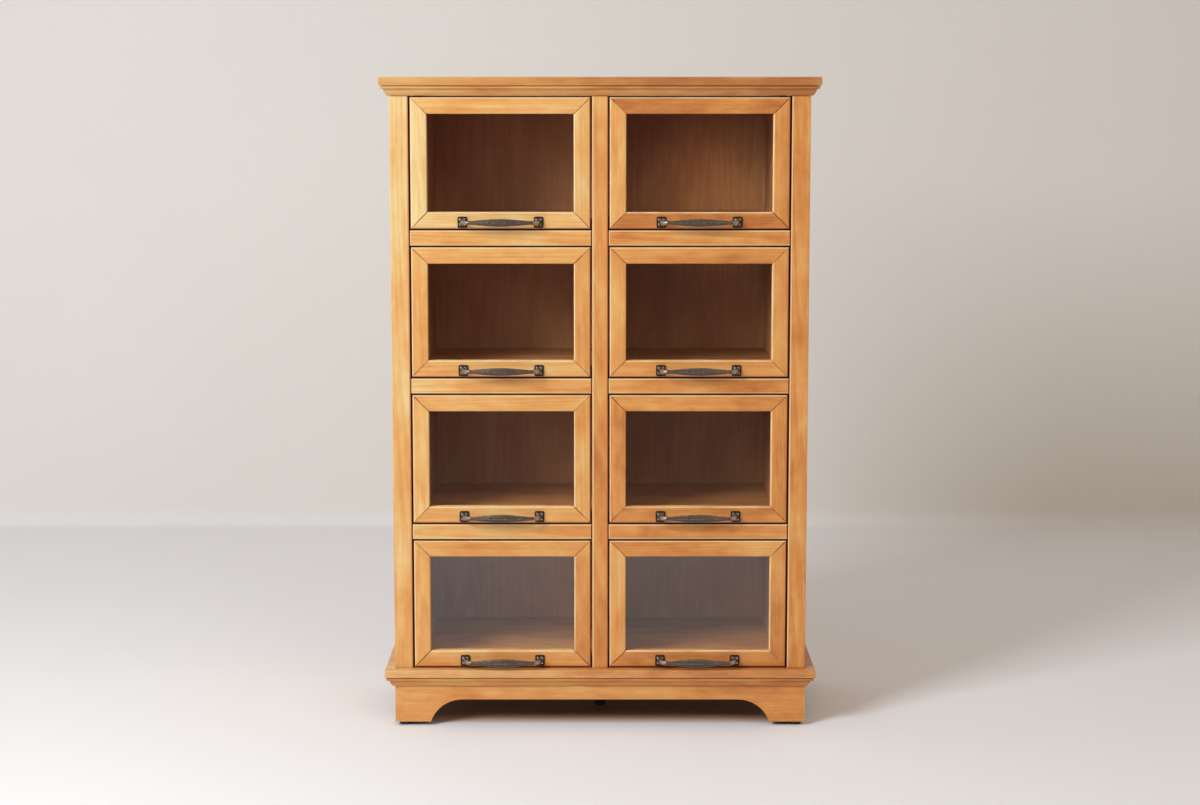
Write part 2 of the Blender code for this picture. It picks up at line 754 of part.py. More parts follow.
def build_doors():
    frame = door_frame_mesh()
    glass = glass_mesh()
    pull = pull_mesh()
    pull_place = (0, DOOR_FACE, DOOR_FOOT + PULL_RISE)
    for row in range(1, ROWS + 1):
        for side, sign in SIDES.items():
            hinge = bpy.data.objects.new(f"hinge_r{row}_{side}", None)
            hinge.location = pivot_point(row, sign * DOOR_X)
            PARTS.objects.link(hinge)
            add_part(f"door_frame_r{row}_{side}", frame, DOOR_PINE, parent=hinge)
            add_part(f"glass_r{row}_{side}", glass, PANE_GLASS, parent=hinge)
            add_part(f"pull_r{row}_{side}", pull, PULL_METAL, pull_place, parent=hinge)


build_top_and_base()
build_case()
build_front_frame()
build_plinth()
build_feet()
build_doors()
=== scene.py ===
# %% [markdown]
# # A glazed display cabinet in honey-stained pine
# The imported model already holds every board, door and pull at its true size, in metres. This lesson
# dresses it: it gives the boards a pine finish, rebuilds the mitred doors and the cast pulls with finer
# shapes, glazes the doors and lights the whole like a studio product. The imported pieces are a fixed
# frame, so nothing needs fitting.

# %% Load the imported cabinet
import math

import bmesh
import bpy
from mathutils import Matrix, Vector


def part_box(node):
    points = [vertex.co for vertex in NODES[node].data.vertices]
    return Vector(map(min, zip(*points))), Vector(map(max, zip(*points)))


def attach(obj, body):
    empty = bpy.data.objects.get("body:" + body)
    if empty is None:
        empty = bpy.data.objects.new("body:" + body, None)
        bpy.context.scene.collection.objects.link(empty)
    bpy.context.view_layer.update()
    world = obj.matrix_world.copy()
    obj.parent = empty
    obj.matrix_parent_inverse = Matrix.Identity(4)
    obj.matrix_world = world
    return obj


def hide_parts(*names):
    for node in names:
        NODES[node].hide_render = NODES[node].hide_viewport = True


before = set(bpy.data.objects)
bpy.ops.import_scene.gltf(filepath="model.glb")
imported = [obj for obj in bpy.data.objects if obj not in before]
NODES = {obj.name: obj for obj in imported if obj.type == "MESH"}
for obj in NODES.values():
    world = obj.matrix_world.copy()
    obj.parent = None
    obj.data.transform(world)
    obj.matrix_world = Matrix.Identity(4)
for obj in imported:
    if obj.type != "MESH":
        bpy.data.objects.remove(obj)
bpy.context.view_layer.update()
SCENE = bpy.context.scene

# %% [markdown]
# ## The camera
# The picture was taken square to the front from a little below the height of the top, with a long lens.
# The top face is hidden, while the ledge of the base and the shelves inside show their upper sides. The
# camera stands there and tilts down a little to hold the whole cabinet. A level camera with a large lens
# shift would keep the uprights parallel, but it would crop the cabinet in other views, so only a trace
# of shift is used.

# %% Camera
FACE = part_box("face_stile_left")[0].y
CAMERA_DISTANCE = 4.28
CAMERA_HEIGHT = 1.182
CAMERA_TILT = math.radians(6.902)
SENSOR_WIDTH = 36
FOCAL_LENGTH = 69.375
LENS_SHIFT = -0.02


def add_object(name, data):
    """A new object in the scene that shows a mesh, a lamp or a lens."""
    made = bpy.data.objects.new(name, data)
    SCENE.collection.objects.link(made)
    return made


lens = bpy.data.cameras.new("camera")
lens.sensor_width = SENSOR_WIDTH
lens.lens = FOCAL_LENGTH
lens.shift_y = LENS_SHIFT
lens.dof.use_dof = False
camera = add_object("camera", lens)
camera.location = (0, FACE - CAMERA_DISTANCE, CAMERA_HEIGHT)
camera.rotation_euler = (math.pi / 2 - CAMERA_TILT, 0, 0)
SCENE.camera = camera
SCENE.view_settings.view_transform = "Standard"
print("camera at", [round(v, 3) for v in camera.location])

# %% [markdown]
# ## Helpers for nodes
# A procedural material is a small wiring plan. One helper places a node and feeds its inputs, either with
# a plain value or with the output of another node. Others do a sum, blend two colours, make a soft step
# or a cloud of noise. With them each plan below reads like a recipe.

# %% Wiring helpers
MIX_SOCKETS = {"FLOAT": (2, 3, 0), "VECTOR": (4, 5, 1), "RGBA": (6, 7, 2)}


def feed(tree, node, inputs):
    """Sets a node's inputs, or links them where a value is the output of another node."""
    for title, value in inputs.items():
        if isinstance(value, bpy.types.NodeSocket):
            tree.links.new(value, node.inputs[title])
        else:
            node.inputs[title].default_value = value


def place(tree, kind, inputs=None, **settings):
    node = tree.nodes.new("ShaderNode" + kind)
    for name, value in settings.items():
        setattr(node, name, value)
    feed(tree, node, inputs or {})
    return node


def sum_of(tree, operation, *values):
    return place(tree, "Math", dict(enumerate(values)), operation=operation).outputs[0]


def product(tree, first, second):
    return sum_of(tree, "MULTIPLY", first, second)


def vector_sum(tree, operation, *values):
    return place(tree, "VectorMath", dict(enumerate(values)), operation=operation).outputs[0]


def split(tree, vector):
    return place(tree, "SeparateXYZ", {0: vector}).outputs


def mix_of(tree, data_type, share, first, second, how="MIX"):
    """A Mix node has sockets for each type of data, so the right three are looked up."""
    one, other, result = MIX_SOCKETS[data_type]
    inputs = {0: share, one: first, other: second}
    return place(tree, "Mix", inputs, data_type=data_type, blend_type=how).outputs[result]


def blend_colours(tree, share, first, second):
    return mix_of(tree, "RGBA", share, first, second)


def tinted(tree, share, colour, tint):
    return mix_of(tree, "RGBA", share, colour, tint, "MULTIPLY")


print("wiring helpers ready")


# %% Pattern helpers
def step_between(tree, value, low, high, start=0.0, end=1.0):
    """A soft step from start, at the value low, to end, at the value high."""
    inputs = {0: value, 1: low, 2: high, 3: start, 4: end}
    return place(tree, "MapRange", inputs, interpolation_type="SMOOTHSTEP").outputs[0]


def cloud_of(tree, vector, stretch, detail=2.0, roughness=0.5, output=0):
    """Noise whose size along each axis is set by stretch, in repeats for each metre."""
    scaled = vector_sum(tree, "MULTIPLY", vector, stretch)
    inputs = {"Vector": scaled, "Scale": 1.0, "Detail": detail, "Roughness": roughness}
    return place(tree, "TexNoise", inputs).outputs[output]


def object_place(tree):
    return place(tree, "TexCoord").outputs["Object"]


def surface_normal(tree):
    return split(tree, place(tree, "NewGeometry").outputs["Normal"])


print("pattern helpers ready")


# %% Groups and materials
def new_group(name, inputs, outputs):
    """A shader node group with named sockets, given as {name: (kind, default)} and {name: kind}."""
    tree = bpy.data.node_groups.new(name, "ShaderNodeTree")
    for title, (kind, default) in inputs.items():
        socket = tree.interface.new_socket(title, in_out="INPUT", socket_type="NodeSocket" + kind)
        if default is not None:
            socket.default_value = default
    for title, kind in outputs.items():
        tree.interface.new_socket(title, in_out="OUTPUT", socket_type="NodeSocket" + kind)
    return tree, tree.nodes.new("NodeGroupInput").outputs, tree.nodes.new("NodeGroupOutput")


def use_group(tree, group, inputs):
    return place(tree, "Group", inputs, node_tree=group).outputs


def new_material(name):
    """A new material, its tree and its Principled shader."""
    material = bpy.data.materials.new(name)
    material.use_nodes = True
    tree = material.node_tree
    return material, tree, tree.nodes["Principled BSDF"]


def mix_shaders(tree, share, first, second):
    """Shows the first shader, and the second where share is 1."""
    mixed = place(tree, "MixShader", {0: share, 1: first.outputs[0], 2: second.outputs[0]})
    feed(tree, tree.nodes["Material Output"], {"Surface": mixed.outputs[0]})


def add_bump(tree, shader, height, strength, distance):
    bump = place(tree, "Bump", {"Strength": strength, "Distance": distance, "Height": height})
    feed(tree, shader, {"Normal": bump.outputs[0]})


print("group and material helpers ready")

# %% [markdown]
# ## The floor and the wall behind
# In the picture the cabinet stands on a pale floor that meets a pale wall in a fine line about two metres
# behind the front. Two planes would do, but one sheet is simpler to paint: it runs along the floor, bends
# up in a small cove and rises as the wall. Seen from behind, the wall is left clear, so that the cabinet
# can also be looked at from there. Right under the cabinet the floor is painted a warm brown: a painted
# shadow, warmed for the light that the wood throws down there.

# %% Sweep shape
SWEEP_WIDTH = 16.0
SWEEP_FRONT = -9.0
WALL_Y = 1.92
WALL_TOP = 5.0
COVE = 0.05
COVE_STEPS = 14


def sheet_across(name, line, width):
    """A sheet that follows a line of (y, z) points and is as wide as given along X."""
    mesh = bpy.data.meshes.new(name)
    corners = [(x, y, z) for y, z in line for x in (-width / 2, width / 2)]
    faces = [(2 * i, 2 * i + 1, 2 * i + 3, 2 * i + 2) for i in range(len(line) - 1)]
    mesh.from_pydata(corners, [], faces)
    return add_object(name, mesh)


sweep_line = [(SWEEP_FRONT, 0.0)]
for step in range(COVE_STEPS + 1):
    turn = math.pi / 2 * step / COVE_STEPS
    sweep_line.append((WALL_Y - COVE + COVE * math.sin(turn), COVE - COVE * math.cos(turn)))
sweep_line.append((WALL_Y, WALL_TOP))
sweep = sheet_across("sweep", sweep_line, SWEEP_WIDTH)
sweep.data.shade_smooth()
print("sweep normals up", sweep.data.polygons[0].normal.z > 0)

# %% Sweep paint
FLOOR_PAINT = (0.855, 0.872, 0.902, 1)
WALL_PAINT = (0.84, 0.815, 0.78, 1)
PAINT_ROUGHNESS = 0.85
MOTTLE_STRETCH = (2.3, 2.3, 2.3)
MOTTLE_TINTS = ((0.97, 0.968, 0.965, 1), (1.0, 1.0, 1.0, 1))
FLOOR_UNDER_SHADE = (0.74, 0.47, 0.33, 1)
FLOOR_SHADE_WIDTH = (0.36, 0.32)
FLOOR_SHADE_DEPTH = (0.15, 0.12)

material, tree, paint = new_material("pale_sweep")
where = place(tree, "NewGeometry").outputs
height = split(tree, where["Position"])[2]
pale = blend_colours(tree, step_between(tree, height, 0.0, COVE), FLOOR_PAINT, WALL_PAINT)
# Painted shadow: a warm dark brown patch on the floor right under the cabinet.
spread = split(tree, vector_sum(tree, "ABSOLUTE", where["Position"]))
shade_across = step_between(tree, spread[0], *FLOOR_SHADE_WIDTH)
shade_along = step_between(tree, spread[1], *FLOOR_SHADE_DEPTH)
pale = blend_colours(tree, product(tree, shade_across, shade_along), pale, FLOOR_UNDER_SHADE)
mottle = cloud_of(tree, where["Position"], MOTTLE_STRETCH, detail=4)
pale = tinted(tree, 1.0, pale, blend_colours(tree, mottle, *MOTTLE_TINTS))
feed(tree, paint, {"Base Color": pale, "Roughness": PAINT_ROUGHNESS})
mix_shaders(tree, where["Backfacing"], paint, place(tree, "BsdfTransparent"))
sweep.data.materials.append(material)
print("sweep painted", material.name)

# %% [markdown]
# ## The light
# The light is large and soft. It comes from the left and a little from the front, so the left stile is
# brightest, the tones deepen towards the right, and a wide shadow lies on the floor there. A weak, warmer
# lamp on the other side and a dim world fill the shade. The world is brighter where the camera, glass or
# metal sees it, which shows a pale room without more light on the wood.

# %% Lamps
# Each lamp: where it stands, its width and height, its watts and its colour.
LAMPS = {
    "key": (Vector((-2.35, -2.75, 2.45)), (1.3, 1.6), 138, (0.89, 0.95, 1.0)),
    "fill": (Vector((1.9, -3.4, 2.6)), (2.4, 1.6), 24, (1.0, 0.95, 0.89)),
}
LAMP_AIM = Vector((0.0, 0.0, 0.62))

for name, (at, (wide, tall), watts, colour) in LAMPS.items():
    light = bpy.data.lights.new(name, "AREA")
    light.shape = "RECTANGLE"
    light.size = wide
    light.size_y = tall
    light.energy = watts
    light.color = colour
    lamp = add_object(name, light)
    lamp.location = at
    lamp.rotation_euler = (LAMP_AIM - at).to_track_quat("-Z", "Y").to_euler()
print("lamps", list(LAMPS))

# %% World
SHADE_COLOUR = (0.94, 0.77, 0.62, 1)
ROOM_COLOUR = (0.92, 0.89, 0.86, 1)
ROOM_STRENGTH = 0.75
HORIZON_STRENGTH = 0.08
CEILING_STRENGTH = 0.60
CEILING_FULL = 0.9

world = bpy.data.worlds.new("studio")
SCENE.world = world
world.use_nodes = True
tree = world.node_tree
path = place(tree, "LightPath").outputs
seen = sum_of(tree, "MAXIMUM", path["Is Camera Ray"], path["Is Transmission Ray"])
seen = sum_of(tree, "MAXIMUM", seen, path["Is Glossy Ray"])
upward = split(tree, place(tree, "TexCoord").outputs["Generated"])[2]
ceiling = step_between(tree, upward, 0.0, CEILING_FULL, HORIZON_STRENGTH, CEILING_STRENGTH)
glow = {
    "Color": blend_colours(tree, seen, SHADE_COLOUR, ROOM_COLOUR),
    "Strength": mix_of(tree, "FLOAT", seen, ceiling, ROOM_STRENGTH),
}
feed(tree, tree.nodes["Background"], glow)
print("world nodes", len(tree.nodes))

# %% [markdown]
# ## A cloth for the reflections
# Panes mirror whatever stands in front of them. A photographer lays a dark cloth there to keep glass clear.
# This one starts beyond the pale floor, so the lowest panes mirror the floor and the others stay clear. It
# is seen in reflections only and casts no shadow.

# %% Grey cloth
CLOTH_WIDTH = 8.0
CLOTH_EDGE = -2.2
CLOTH_BACK = -6.5
CLOTH_TOP = 4.5
CLOTH_LIFT = 0.004
CLOTH_WEAVE = (300, 300, 300)
CLOTH_TONES = ((0.08, 0.076, 0.072, 1), (0.13, 0.125, 0.12, 1))

cloth_line = ((CLOTH_EDGE, CLOTH_LIFT), (CLOTH_BACK, CLOTH_LIFT), (CLOTH_BACK, CLOTH_TOP))
cloth = sheet_across("grey_cloth", cloth_line, CLOTH_WIDTH)
cloth.visible_camera = False
cloth.visible_diffuse = False
cloth.visible_shadow = False
material, tree, nap = new_material("grey_cloth")
weave = cloud_of(tree, object_place(tree), CLOTH_WEAVE)
feed(tree, nap, {"Base Color": blend_colours(tree, weave, *CLOTH_TONES), "Roughness": 1.0})
cloth.data.materials.append(material)
print("cloth from", CLOTH_EDGE, "to", CLOTH_BACK)

# %% [markdown]
# ## Pine
# Every wooden piece is pine under a honey stain and a satin lacquer. Pine drinks stain unevenly, so the
# colour drifts from straw to orange in soft clouds. On top lie the growth lines, long loops that follow
# the board, and very fine fibres with a few short resin lines. A picture of wood would repeat, and noise
# stretched along the grain never does. The group works in a board's own directions, with X along the
# grain, so the same pattern serves every board, and Tone says how deep the colour lies there: the stain,
# and on many boards a painted shade too.

# %% Pine grain group
SEED_SHIFT = (1.71, 0.93, 0.57)
BEND_STRETCH = (1.1, 5.0, 5.0)
BEND_SWAY = (0.0, 0.016, 0.016)
GROWTH_STRETCH = (0.35, 13.0, 13.0)
GROWTH_LINES = 26.0
GROWTH_RISE = (0.15, 0.86)
GROWTH_FALL = (1.0, 0.90)
FIBRE_STRETCH = (9.0, 430.0, 430.0)
RESIN_STRETCH = (42.0, 1050.0, 1050.0)
RESIN_STEP = (0.66, 0.76)
PLAIN = (1, 1, 1, 1)

PINE, give, take = new_group(
    "Pine grain",
    {
        "Board": ("Vector", None),
        "Seed": ("Float", 0.0),
        "Tone": ("Float", 0.5),
        "Growth": ("Float", 0.30),
        "Clouds": ("Float", 1.0),
        "Stain": ("Color", PLAIN),
    },
    {"Color": "Color", "Roughness": "Float", "Height": "Float"},
)
log = vector_sum(PINE, "MULTIPLY_ADD", give["Seed"], SEED_SHIFT, give["Board"])
bend = cloud_of(PINE, log, BEND_STRETCH, detail=1, output="Color")
sway = vector_sum(PINE, "MULTIPLY_ADD", bend, BEND_SWAY, log)
contour = cloud_of(PINE, sway, GROWTH_STRETCH, detail=0.5)
growth = sum_of(PINE, "FRACT", product(PINE, contour, GROWTH_LINES))
late = product(PINE, step_between(PINE, growth, *GROWTH_RISE), step_between(PINE, growth, *GROWTH_FALL))
fibre = cloud_of(PINE, sway, FIBRE_STRETCH, detail=3, roughness=0.6)
resin = step_between(PINE, cloud_of(PINE, sway, RESIN_STRETCH, detail=1), *RESIN_STEP)
print("grain nodes", len(PINE.nodes))

# %% Pine colour and relief
# Each tone: how deep the stain went, and the colour there. Each cloud: its stretch and its share.
STAIN_TONES = (
    (0.00, (0.74, 0.545, 0.240)),
    (0.35, (0.72, 0.390, 0.126)),
    (0.70, (0.635, 0.270, 0.069)),
    (1.00, (0.46, 0.160, 0.038)),
)
STAIN_CLOUDS = (
    ((2.2, 5.0, 5.0), 0.50),
    ((8.0, 17.0, 17.0), 1.00),
    ((30.0, 75.0, 75.0), 0.50),
)
GROWTH_TINT = (0.86, 0.64, 0.46, 1)
FIBRE_STEP = (0.30, 0.72)
FIBRE_TINTS = ((0.95, 0.89, 0.84, 1), (1.03, 1.06, 1.11, 1))
RESIN_TINT = (0.55, 0.40, 0.28, 1)
RESIN_SHARE = 0.35
PINE_ROUGHNESS = 0.33
FIBRE_ROUGHNESS = 0.14
LATE_ROUGHNESS = 0.06
FIBRE_RELIEF = 0.7
LATE_RELIEF = 0.3
RESIN_RELIEF = 0.5

drift = 0.0
for stretch, share in STAIN_CLOUDS:
    cloud = sum_of(PINE, "SUBTRACT", cloud_of(PINE, log, stretch), 0.5)
    drift = sum_of(PINE, "MULTIPLY_ADD", cloud, share, drift)
ramp = place(PINE, "ValToRGB", {0: sum_of(PINE, "MULTIPLY_ADD", drift, give["Clouds"], give["Tone"])})
marks = ramp.color_ramp.elements
for stop, (at, colour) in enumerate(STAIN_TONES):
    mark = marks[stop] if stop < 2 else marks.new(at)
    mark.position = at
    mark.color = (*colour, 1)
wood = tinted(PINE, product(PINE, late, give["Growth"]), ramp.outputs[0], GROWTH_TINT)
streak = blend_colours(PINE, step_between(PINE, fibre, *FIBRE_STEP), *FIBRE_TINTS)
wood = tinted(PINE, 1.0, wood, streak)
wood = tinted(PINE, product(PINE, resin, RESIN_SHARE), wood, RESIN_TINT)
gloss = sum_of(PINE, "MULTIPLY_ADD", fibre, FIBRE_ROUGHNESS, PINE_ROUGHNESS)
relief = sum_of(PINE, "MULTIPLY_ADD", fibre, FIBRE_RELIEF, product(PINE, late, LATE_RELIEF))
made = {
    "Color": tinted(PINE, 1.0, wood, give["Stain"]),
    "Roughness": sum_of(PINE, "MULTIPLY_ADD", late, LATE_ROUGHNESS, gloss),
    "Height": sum_of(PINE, "SUBTRACT", relief, product(PINE, resin, RESIN_RELIEF)),
}
feed(PINE, take, made)
print("pine group nodes", len(PINE.nodes))

# %% [markdown]
# ## Eased edges
# A sanded edge takes less stain and catches more light, so each board has a thin pale line along its
# arrises: partly the lighter stain and partly a painted highlight. The imported meshes stay as they are, so
# the line is painted. For a straight board the distance to the nearest edge comes from its box alone: of the
# distances to the nearer faces along X, Y and Z, the smallest is zero on the surface, and the next smallest
# leads to the edge.

# %% Edge group
EDGE_WIDTH = 0.0022
EDGE_WAVER = (38.0, 38.0, 38.0)
EDGE_LEAST = 0.3
EDGE_VARIES = 1.4
EDGE_PALE_AND_LIT = (1.22, 1.42, 1.75, 1)

EDGES, give, take = new_group(
    "Sanded edges and painted highlight",
    {
        "Place": ("Vector", None),
        "Low": ("Vector", None),
        "High": ("Vector", None),
        "Color": ("Color", PLAIN),
        "Rub and highlight": ("Float", 0.5),
    },
    {"Color": "Color"},
)
from_low = vector_sum(EDGES, "SUBTRACT", give["Place"], give["Low"])
from_high = vector_sum(EDGES, "SUBTRACT", give["High"], give["Place"])
gap = split(EDGES, vector_sum(EDGES, "MINIMUM", from_low, from_high))
nearer = sum_of(EDGES, "MINIMUM", gap[0], gap[1])
farther = sum_of(EDGES, "MAXIMUM", gap[0], gap[1])
second = sum_of(EDGES, "MAXIMUM", nearer, sum_of(EDGES, "MINIMUM", farther, gap[2]))
uneven = cloud_of(EDGES, give["Place"], EDGE_WAVER, detail=3)
reach = product(EDGES, sum_of(EDGES, "MULTIPLY_ADD", uneven, EDGE_VARIES, EDGE_LEAST), EDGE_WIDTH)
# Pale line along each arris: partly lighter stain, partly a painted highlight.
rubbed_and_lit = product(EDGES, step_between(EDGES, second, reach, 0.0), give["Rub and highlight"])
pale = tinted(EDGES, 1.0, give["Color"], EDGE_PALE_AND_LIT)
feed(EDGES, take, {"Color": blend_colours(EDGES, rubbed_and_lit, give["Color"], pale)})
print("edge group nodes", len(EDGES.nodes))

# %% [markdown]
# ## Dark gaps
# Between a door and its opening is a gap of a few millimetres. Stain and shade gather there, and the
# picture shows it as a dark red line, also where a rail meets a stile. Shade alone would leave it brown. So
# the first few millimetres of wood that look into the gap are painted dark red, a painted shade, with no
# lacquer to shine. Rim adds the hairline that creeps round the arris: stain where a rail meets a stile,
# painted shade beside a gap.

# %% Gap group
# Dark red: painted shade inside the gaps, and stain where a rail meets a stile.
GAP_STAIN_AND_SHADE = (0.070, 0.0020, 0.0020, 1)
GAP_START = (0.0002, 0.0009)
GAP_END = (0.0070, 0.0045)
LACQUER_COAT = 0.22

GAPS, give, take = new_group(
    "Gap stain and painted shade",
    {
        "Color": ("Color", PLAIN),
        "Roughness": ("Float", 0.4),
        "Depth": ("Float", 0.0),
        "Inward": ("Float", 1.0),
        "Rim": ("Float", 0.0),
    },
    {"Color": "Color", "Roughness": "Float", "Coat": "Float"},
)
behind = product(GAPS, step_between(GAPS, give["Depth"], *GAP_START), give["Inward"])
behind = product(GAPS, behind, step_between(GAPS, give["Depth"], *GAP_END))
stain_and_shade = sum_of(GAPS, "MAXIMUM", behind, give["Rim"])
made = {
    "Color": blend_colours(GAPS, stain_and_shade, give["Color"], GAP_STAIN_AND_SHADE),
    "Roughness": sum_of(GAPS, "MAXIMUM", stain_and_shade, give["Roughness"]),
    "Coat": sum_of(GAPS, "MULTIPLY_ADD", stain_and_shade, -LACQUER_COAT, LACQUER_COAT),
}
feed(GAPS, take, made)
print("gap group nodes", len(GAPS.nodes))

# %% [markdown]
# ## Arrises round the openings
# The light comes from the left and from above. An arris that faces it gets a painted highlight, a cream
# line, and one that turns away gets a painted shade, a deeper orange, next to the gap. This group looks at
# the upright edges of the openings: two at the outer stiles and two at the centre stile. Just right of such
# an edge the highlight is painted, and just left of it the shade.

# %% Opening group
# Colours of the painted highlight and the painted shade on the arrises.
HIGHLIGHT_CREAM = (0.82, 0.64, 0.36, 1)
SHADE_ORANGE = (0.52, 0.125, 0.025, 1)
ARRIS_STEP = (0.0038, 0.0020)
OPENING_EDGE = -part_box("face_stile_left")[1].x
CENTRE_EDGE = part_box("face_stile_centre")[1].x

OPENINGS, give, take = new_group(
    "Opening edges",
    {"Across": ("Float", 0.0), "Rim": ("Float", 0.0008)},
    {"Lit": "Float", "Painted shade": "Float", "Stain and shade": "Float"},
)
found = {"Lit": 0.0, "Painted shade": 0.0, "Stain and shade": 0.0}
rim_end = product(OPENINGS, give["Rim"], 0.5)
for edge in (-OPENING_EDGE, -CENTRE_EDGE, CENTRE_EDGE, OPENING_EDGE):
    past = sum_of(OPENINGS, "SUBTRACT", give["Across"], edge)
    before = sum_of(OPENINGS, "SUBTRACT", edge, give["Across"])
    away = sum_of(OPENINGS, "ABSOLUTE", past)
    near = step_between(OPENINGS, away, *ARRIS_STEP)
    marks = {
        "Lit": product(OPENINGS, near, sum_of(OPENINGS, "GREATER_THAN", past, 0.0)),
        "Painted shade": product(OPENINGS, near, sum_of(OPENINGS, "GREATER_THAN", before, 0.0)),
        "Stain and shade": step_between(OPENINGS, away, give["Rim"], rim_end),
    }
    found = {title: sum_of(OPENINGS, "MAXIMUM", mark, found[title]) for title, mark in marks.items()}
feed(OPENINGS, take, found)
print("opening edges at", round(OPENING_EDGE, 4), round(CENTRE_EDGE, 4))

# %% [markdown]
# ## What all the boards share
# Lacquer is a thin clear coat, so the shader's own coat stands for it. Stiles and rails get the arrises,
# with their painted highlight and shade, and the gap stain with its painted shade. The underside and the
# inner faces of the plinth are painted dark, a painted shade that also dims the light bounced under the
# cabinet, and the back has one painted pool of light on its inner face, low in the top right compartment,
# where the picture is lighter.

# %% Lacquer and front edges
SATIN_SHEEN = 0.3
COAT_ROUGHNESS = 0.30
COAT_IOR = 1.5
GRAIN_STRENGTH = 0.35
GRAIN_DEPTH = 0.00018
RAIL_RIM = 0.0020
STILE_RIM = 0.0008
RAIL_ARRIS = (0.0034, 0.0016)
LOWER_ARRIS_LIT = 0.5
SHADE_SHARE = 0.75
HIGHLIGHT_SHARE = 0.65
STILE_MARGIN = 0.001


def lacquered(tree, shader, colour, rough, height, coat=LACQUER_COAT, sheen=SATIN_SHEEN):
    finish = {"Base Color": colour, "Roughness": rough, "Specular IOR Level": sheen}
    finish.update({"Coat Weight": coat, "Coat Roughness": COAT_ROUGHNESS, "Coat IOR": COAT_IOR})
    feed(tree, shader, finish)
    add_bump(tree, shader, height, GRAIN_STRENGTH, GRAIN_DEPTH)


def front_edges(tree, node, part, colour, rough):
    """Painted highlight and shade on the arrises, and gap stain with painted shade, of a stile or a rail.
    part: the place of a point, as X, Y and Z.
    """
    low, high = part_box(node)
    is_rail = node.startswith("face_rail")
    edge = use_group(tree, OPENINGS, {"Across": part[0], "Rim": RAIL_RIM if is_rail else STILE_RIM})
    lit = edge["Lit"]
    # The rails' top and bottom arrises also get a painted highlight.
    if is_rail:
        top = step_between(tree, sum_of(tree, "SUBTRACT", high.z, part[2]), *RAIL_ARRIS)
        bottom = sum_of(tree, "SUBTRACT", part[2], low.z)
        bottom = step_between(tree, bottom, *RAIL_ARRIS, 0.0, LOWER_ARRIS_LIT)
        lit = sum_of(tree, "MAXIMUM", sum_of(tree, "MAXIMUM", lit, top), bottom)
    # Painted shade on arrises that turn from the light, painted highlight on those that face it.
    colour = blend_colours(tree, product(tree, edge["Painted shade"], SHADE_SHARE), colour, SHADE_ORANGE)
    colour = blend_colours(tree, product(tree, lit, HIGHLIGHT_SHARE), colour, HIGHLIGHT_CREAM)
    depth = sum_of(tree, "SUBTRACT", part[1], FACE)
    across = sum_of(tree, "ABSOLUTE", part[0])
    inward = sum_of(tree, "LESS_THAN", across, OPENING_EDGE + STILE_MARGIN)
    gap = {"Color": colour, "Roughness": rough, "Depth": depth, "Inward": inward, "Rim": edge["Stain and shade"]}
    return use_group(tree, GAPS, gap)


print("arris shares", HIGHLIGHT_SHARE, SHADE_SHARE)

# %% Dark and pale faces
PLINTH_SHADE_PARTS = ("base_board", "front_apron", "side_apron_left", "side_apron_right", "rear_apron")
PLINTH_UNDER_SHADE = (0.13, 0.045, 0.014, 1)
LOOKS_INWARD = -0.05
LOOKS_DOWN = -0.7
LOOKS_FORWARD = -0.5
POOL_OF_LIGHT_TINT = (2.7, 3.4, 3.8, 1)
POOL_OF_LIGHT_CENTRE = Vector((0.225, 0.0, 0.985))
POOL_OF_LIGHT_REACH = 0.20


def inner_side(tree, part):
    """Mask of the faces of the plinth and the base board that look inwards or down, where shade is painted.
    """
    normal = surface_normal(tree)
    facing = sum_of(tree, "MULTIPLY_ADD", normal[0], part[0], product(tree, normal[1], part[1]))
    inwards = sum_of(tree, "LESS_THAN", facing, LOOKS_INWARD)
    return sum_of(tree, "MAXIMUM", inwards, sum_of(tree, "LESS_THAN", normal[2], LOOKS_DOWN))


def painted_pool_of_light(tree, here, colour):
    """The colour of the back, with a soft round painted pool of light on its inner face."""
    apart = vector_sum(tree, "MULTIPLY", vector_sum(tree, "SUBTRACT", here, POOL_OF_LIGHT_CENTRE), (1, 0, 1))
    apart = place(tree, "VectorMath", {0: apart}, operation="LENGTH").outputs["Value"]
    forward = sum_of(tree, "LESS_THAN", surface_normal(tree)[1], LOOKS_FORWARD)
    patch = product(tree, step_between(tree, apart, POOL_OF_LIGHT_REACH, 0.0), forward)
    return blend_colours(tree, patch, colour, tinted(tree, 1.0, colour, POOL_OF_LIGHT_TINT))


print("dark undersides", len(PLINTH_SHADE_PARTS))

# %% [markdown]
# ## The boards of the case
# Each board keeps its imported shape and gets a material of its own: a direction for the grain, a seed so
# that no two boards match, and a tone at each end. Uprights carry the grain upwards, and rails, tops and
# aprons carry it across. The boards on the left are paler and yellower, those on the right are more orange:
# partly the stain and partly a painted shade, for the light that falls off away from the lamp. Sawn from
# calmer wood, some boards have weaker clouds or straighter grain, and the top and the ledge are a little
# browner.

# %% One board
TURN = {"X": (0, 0, 0), "Y": (0, 0, -math.pi / 2), "Z": (0, math.pi / 2, 0)}
AXIS = {"X": 0, "Y": 1, "Z": 2}
BOLD_GROWTH = 0.50
CALM_GROWTH = 0.35
STRAIGHT_GRAIN = ("face_stile_left", "face_stile_centre")
CALM_CLOUDS = {"top_board": 0.7, "side_panel_left": 0.55, "side_panel_right": 0.55, "back_panel": 0.55}
BROWNER = {
    "top_board": (0.91, 1.02, 1.18, 1),
    "crown_moulding": (0.93, 1.02, 1.12, 1),
    "base_board": (0.97, 1.03, 1.25, 1),
}


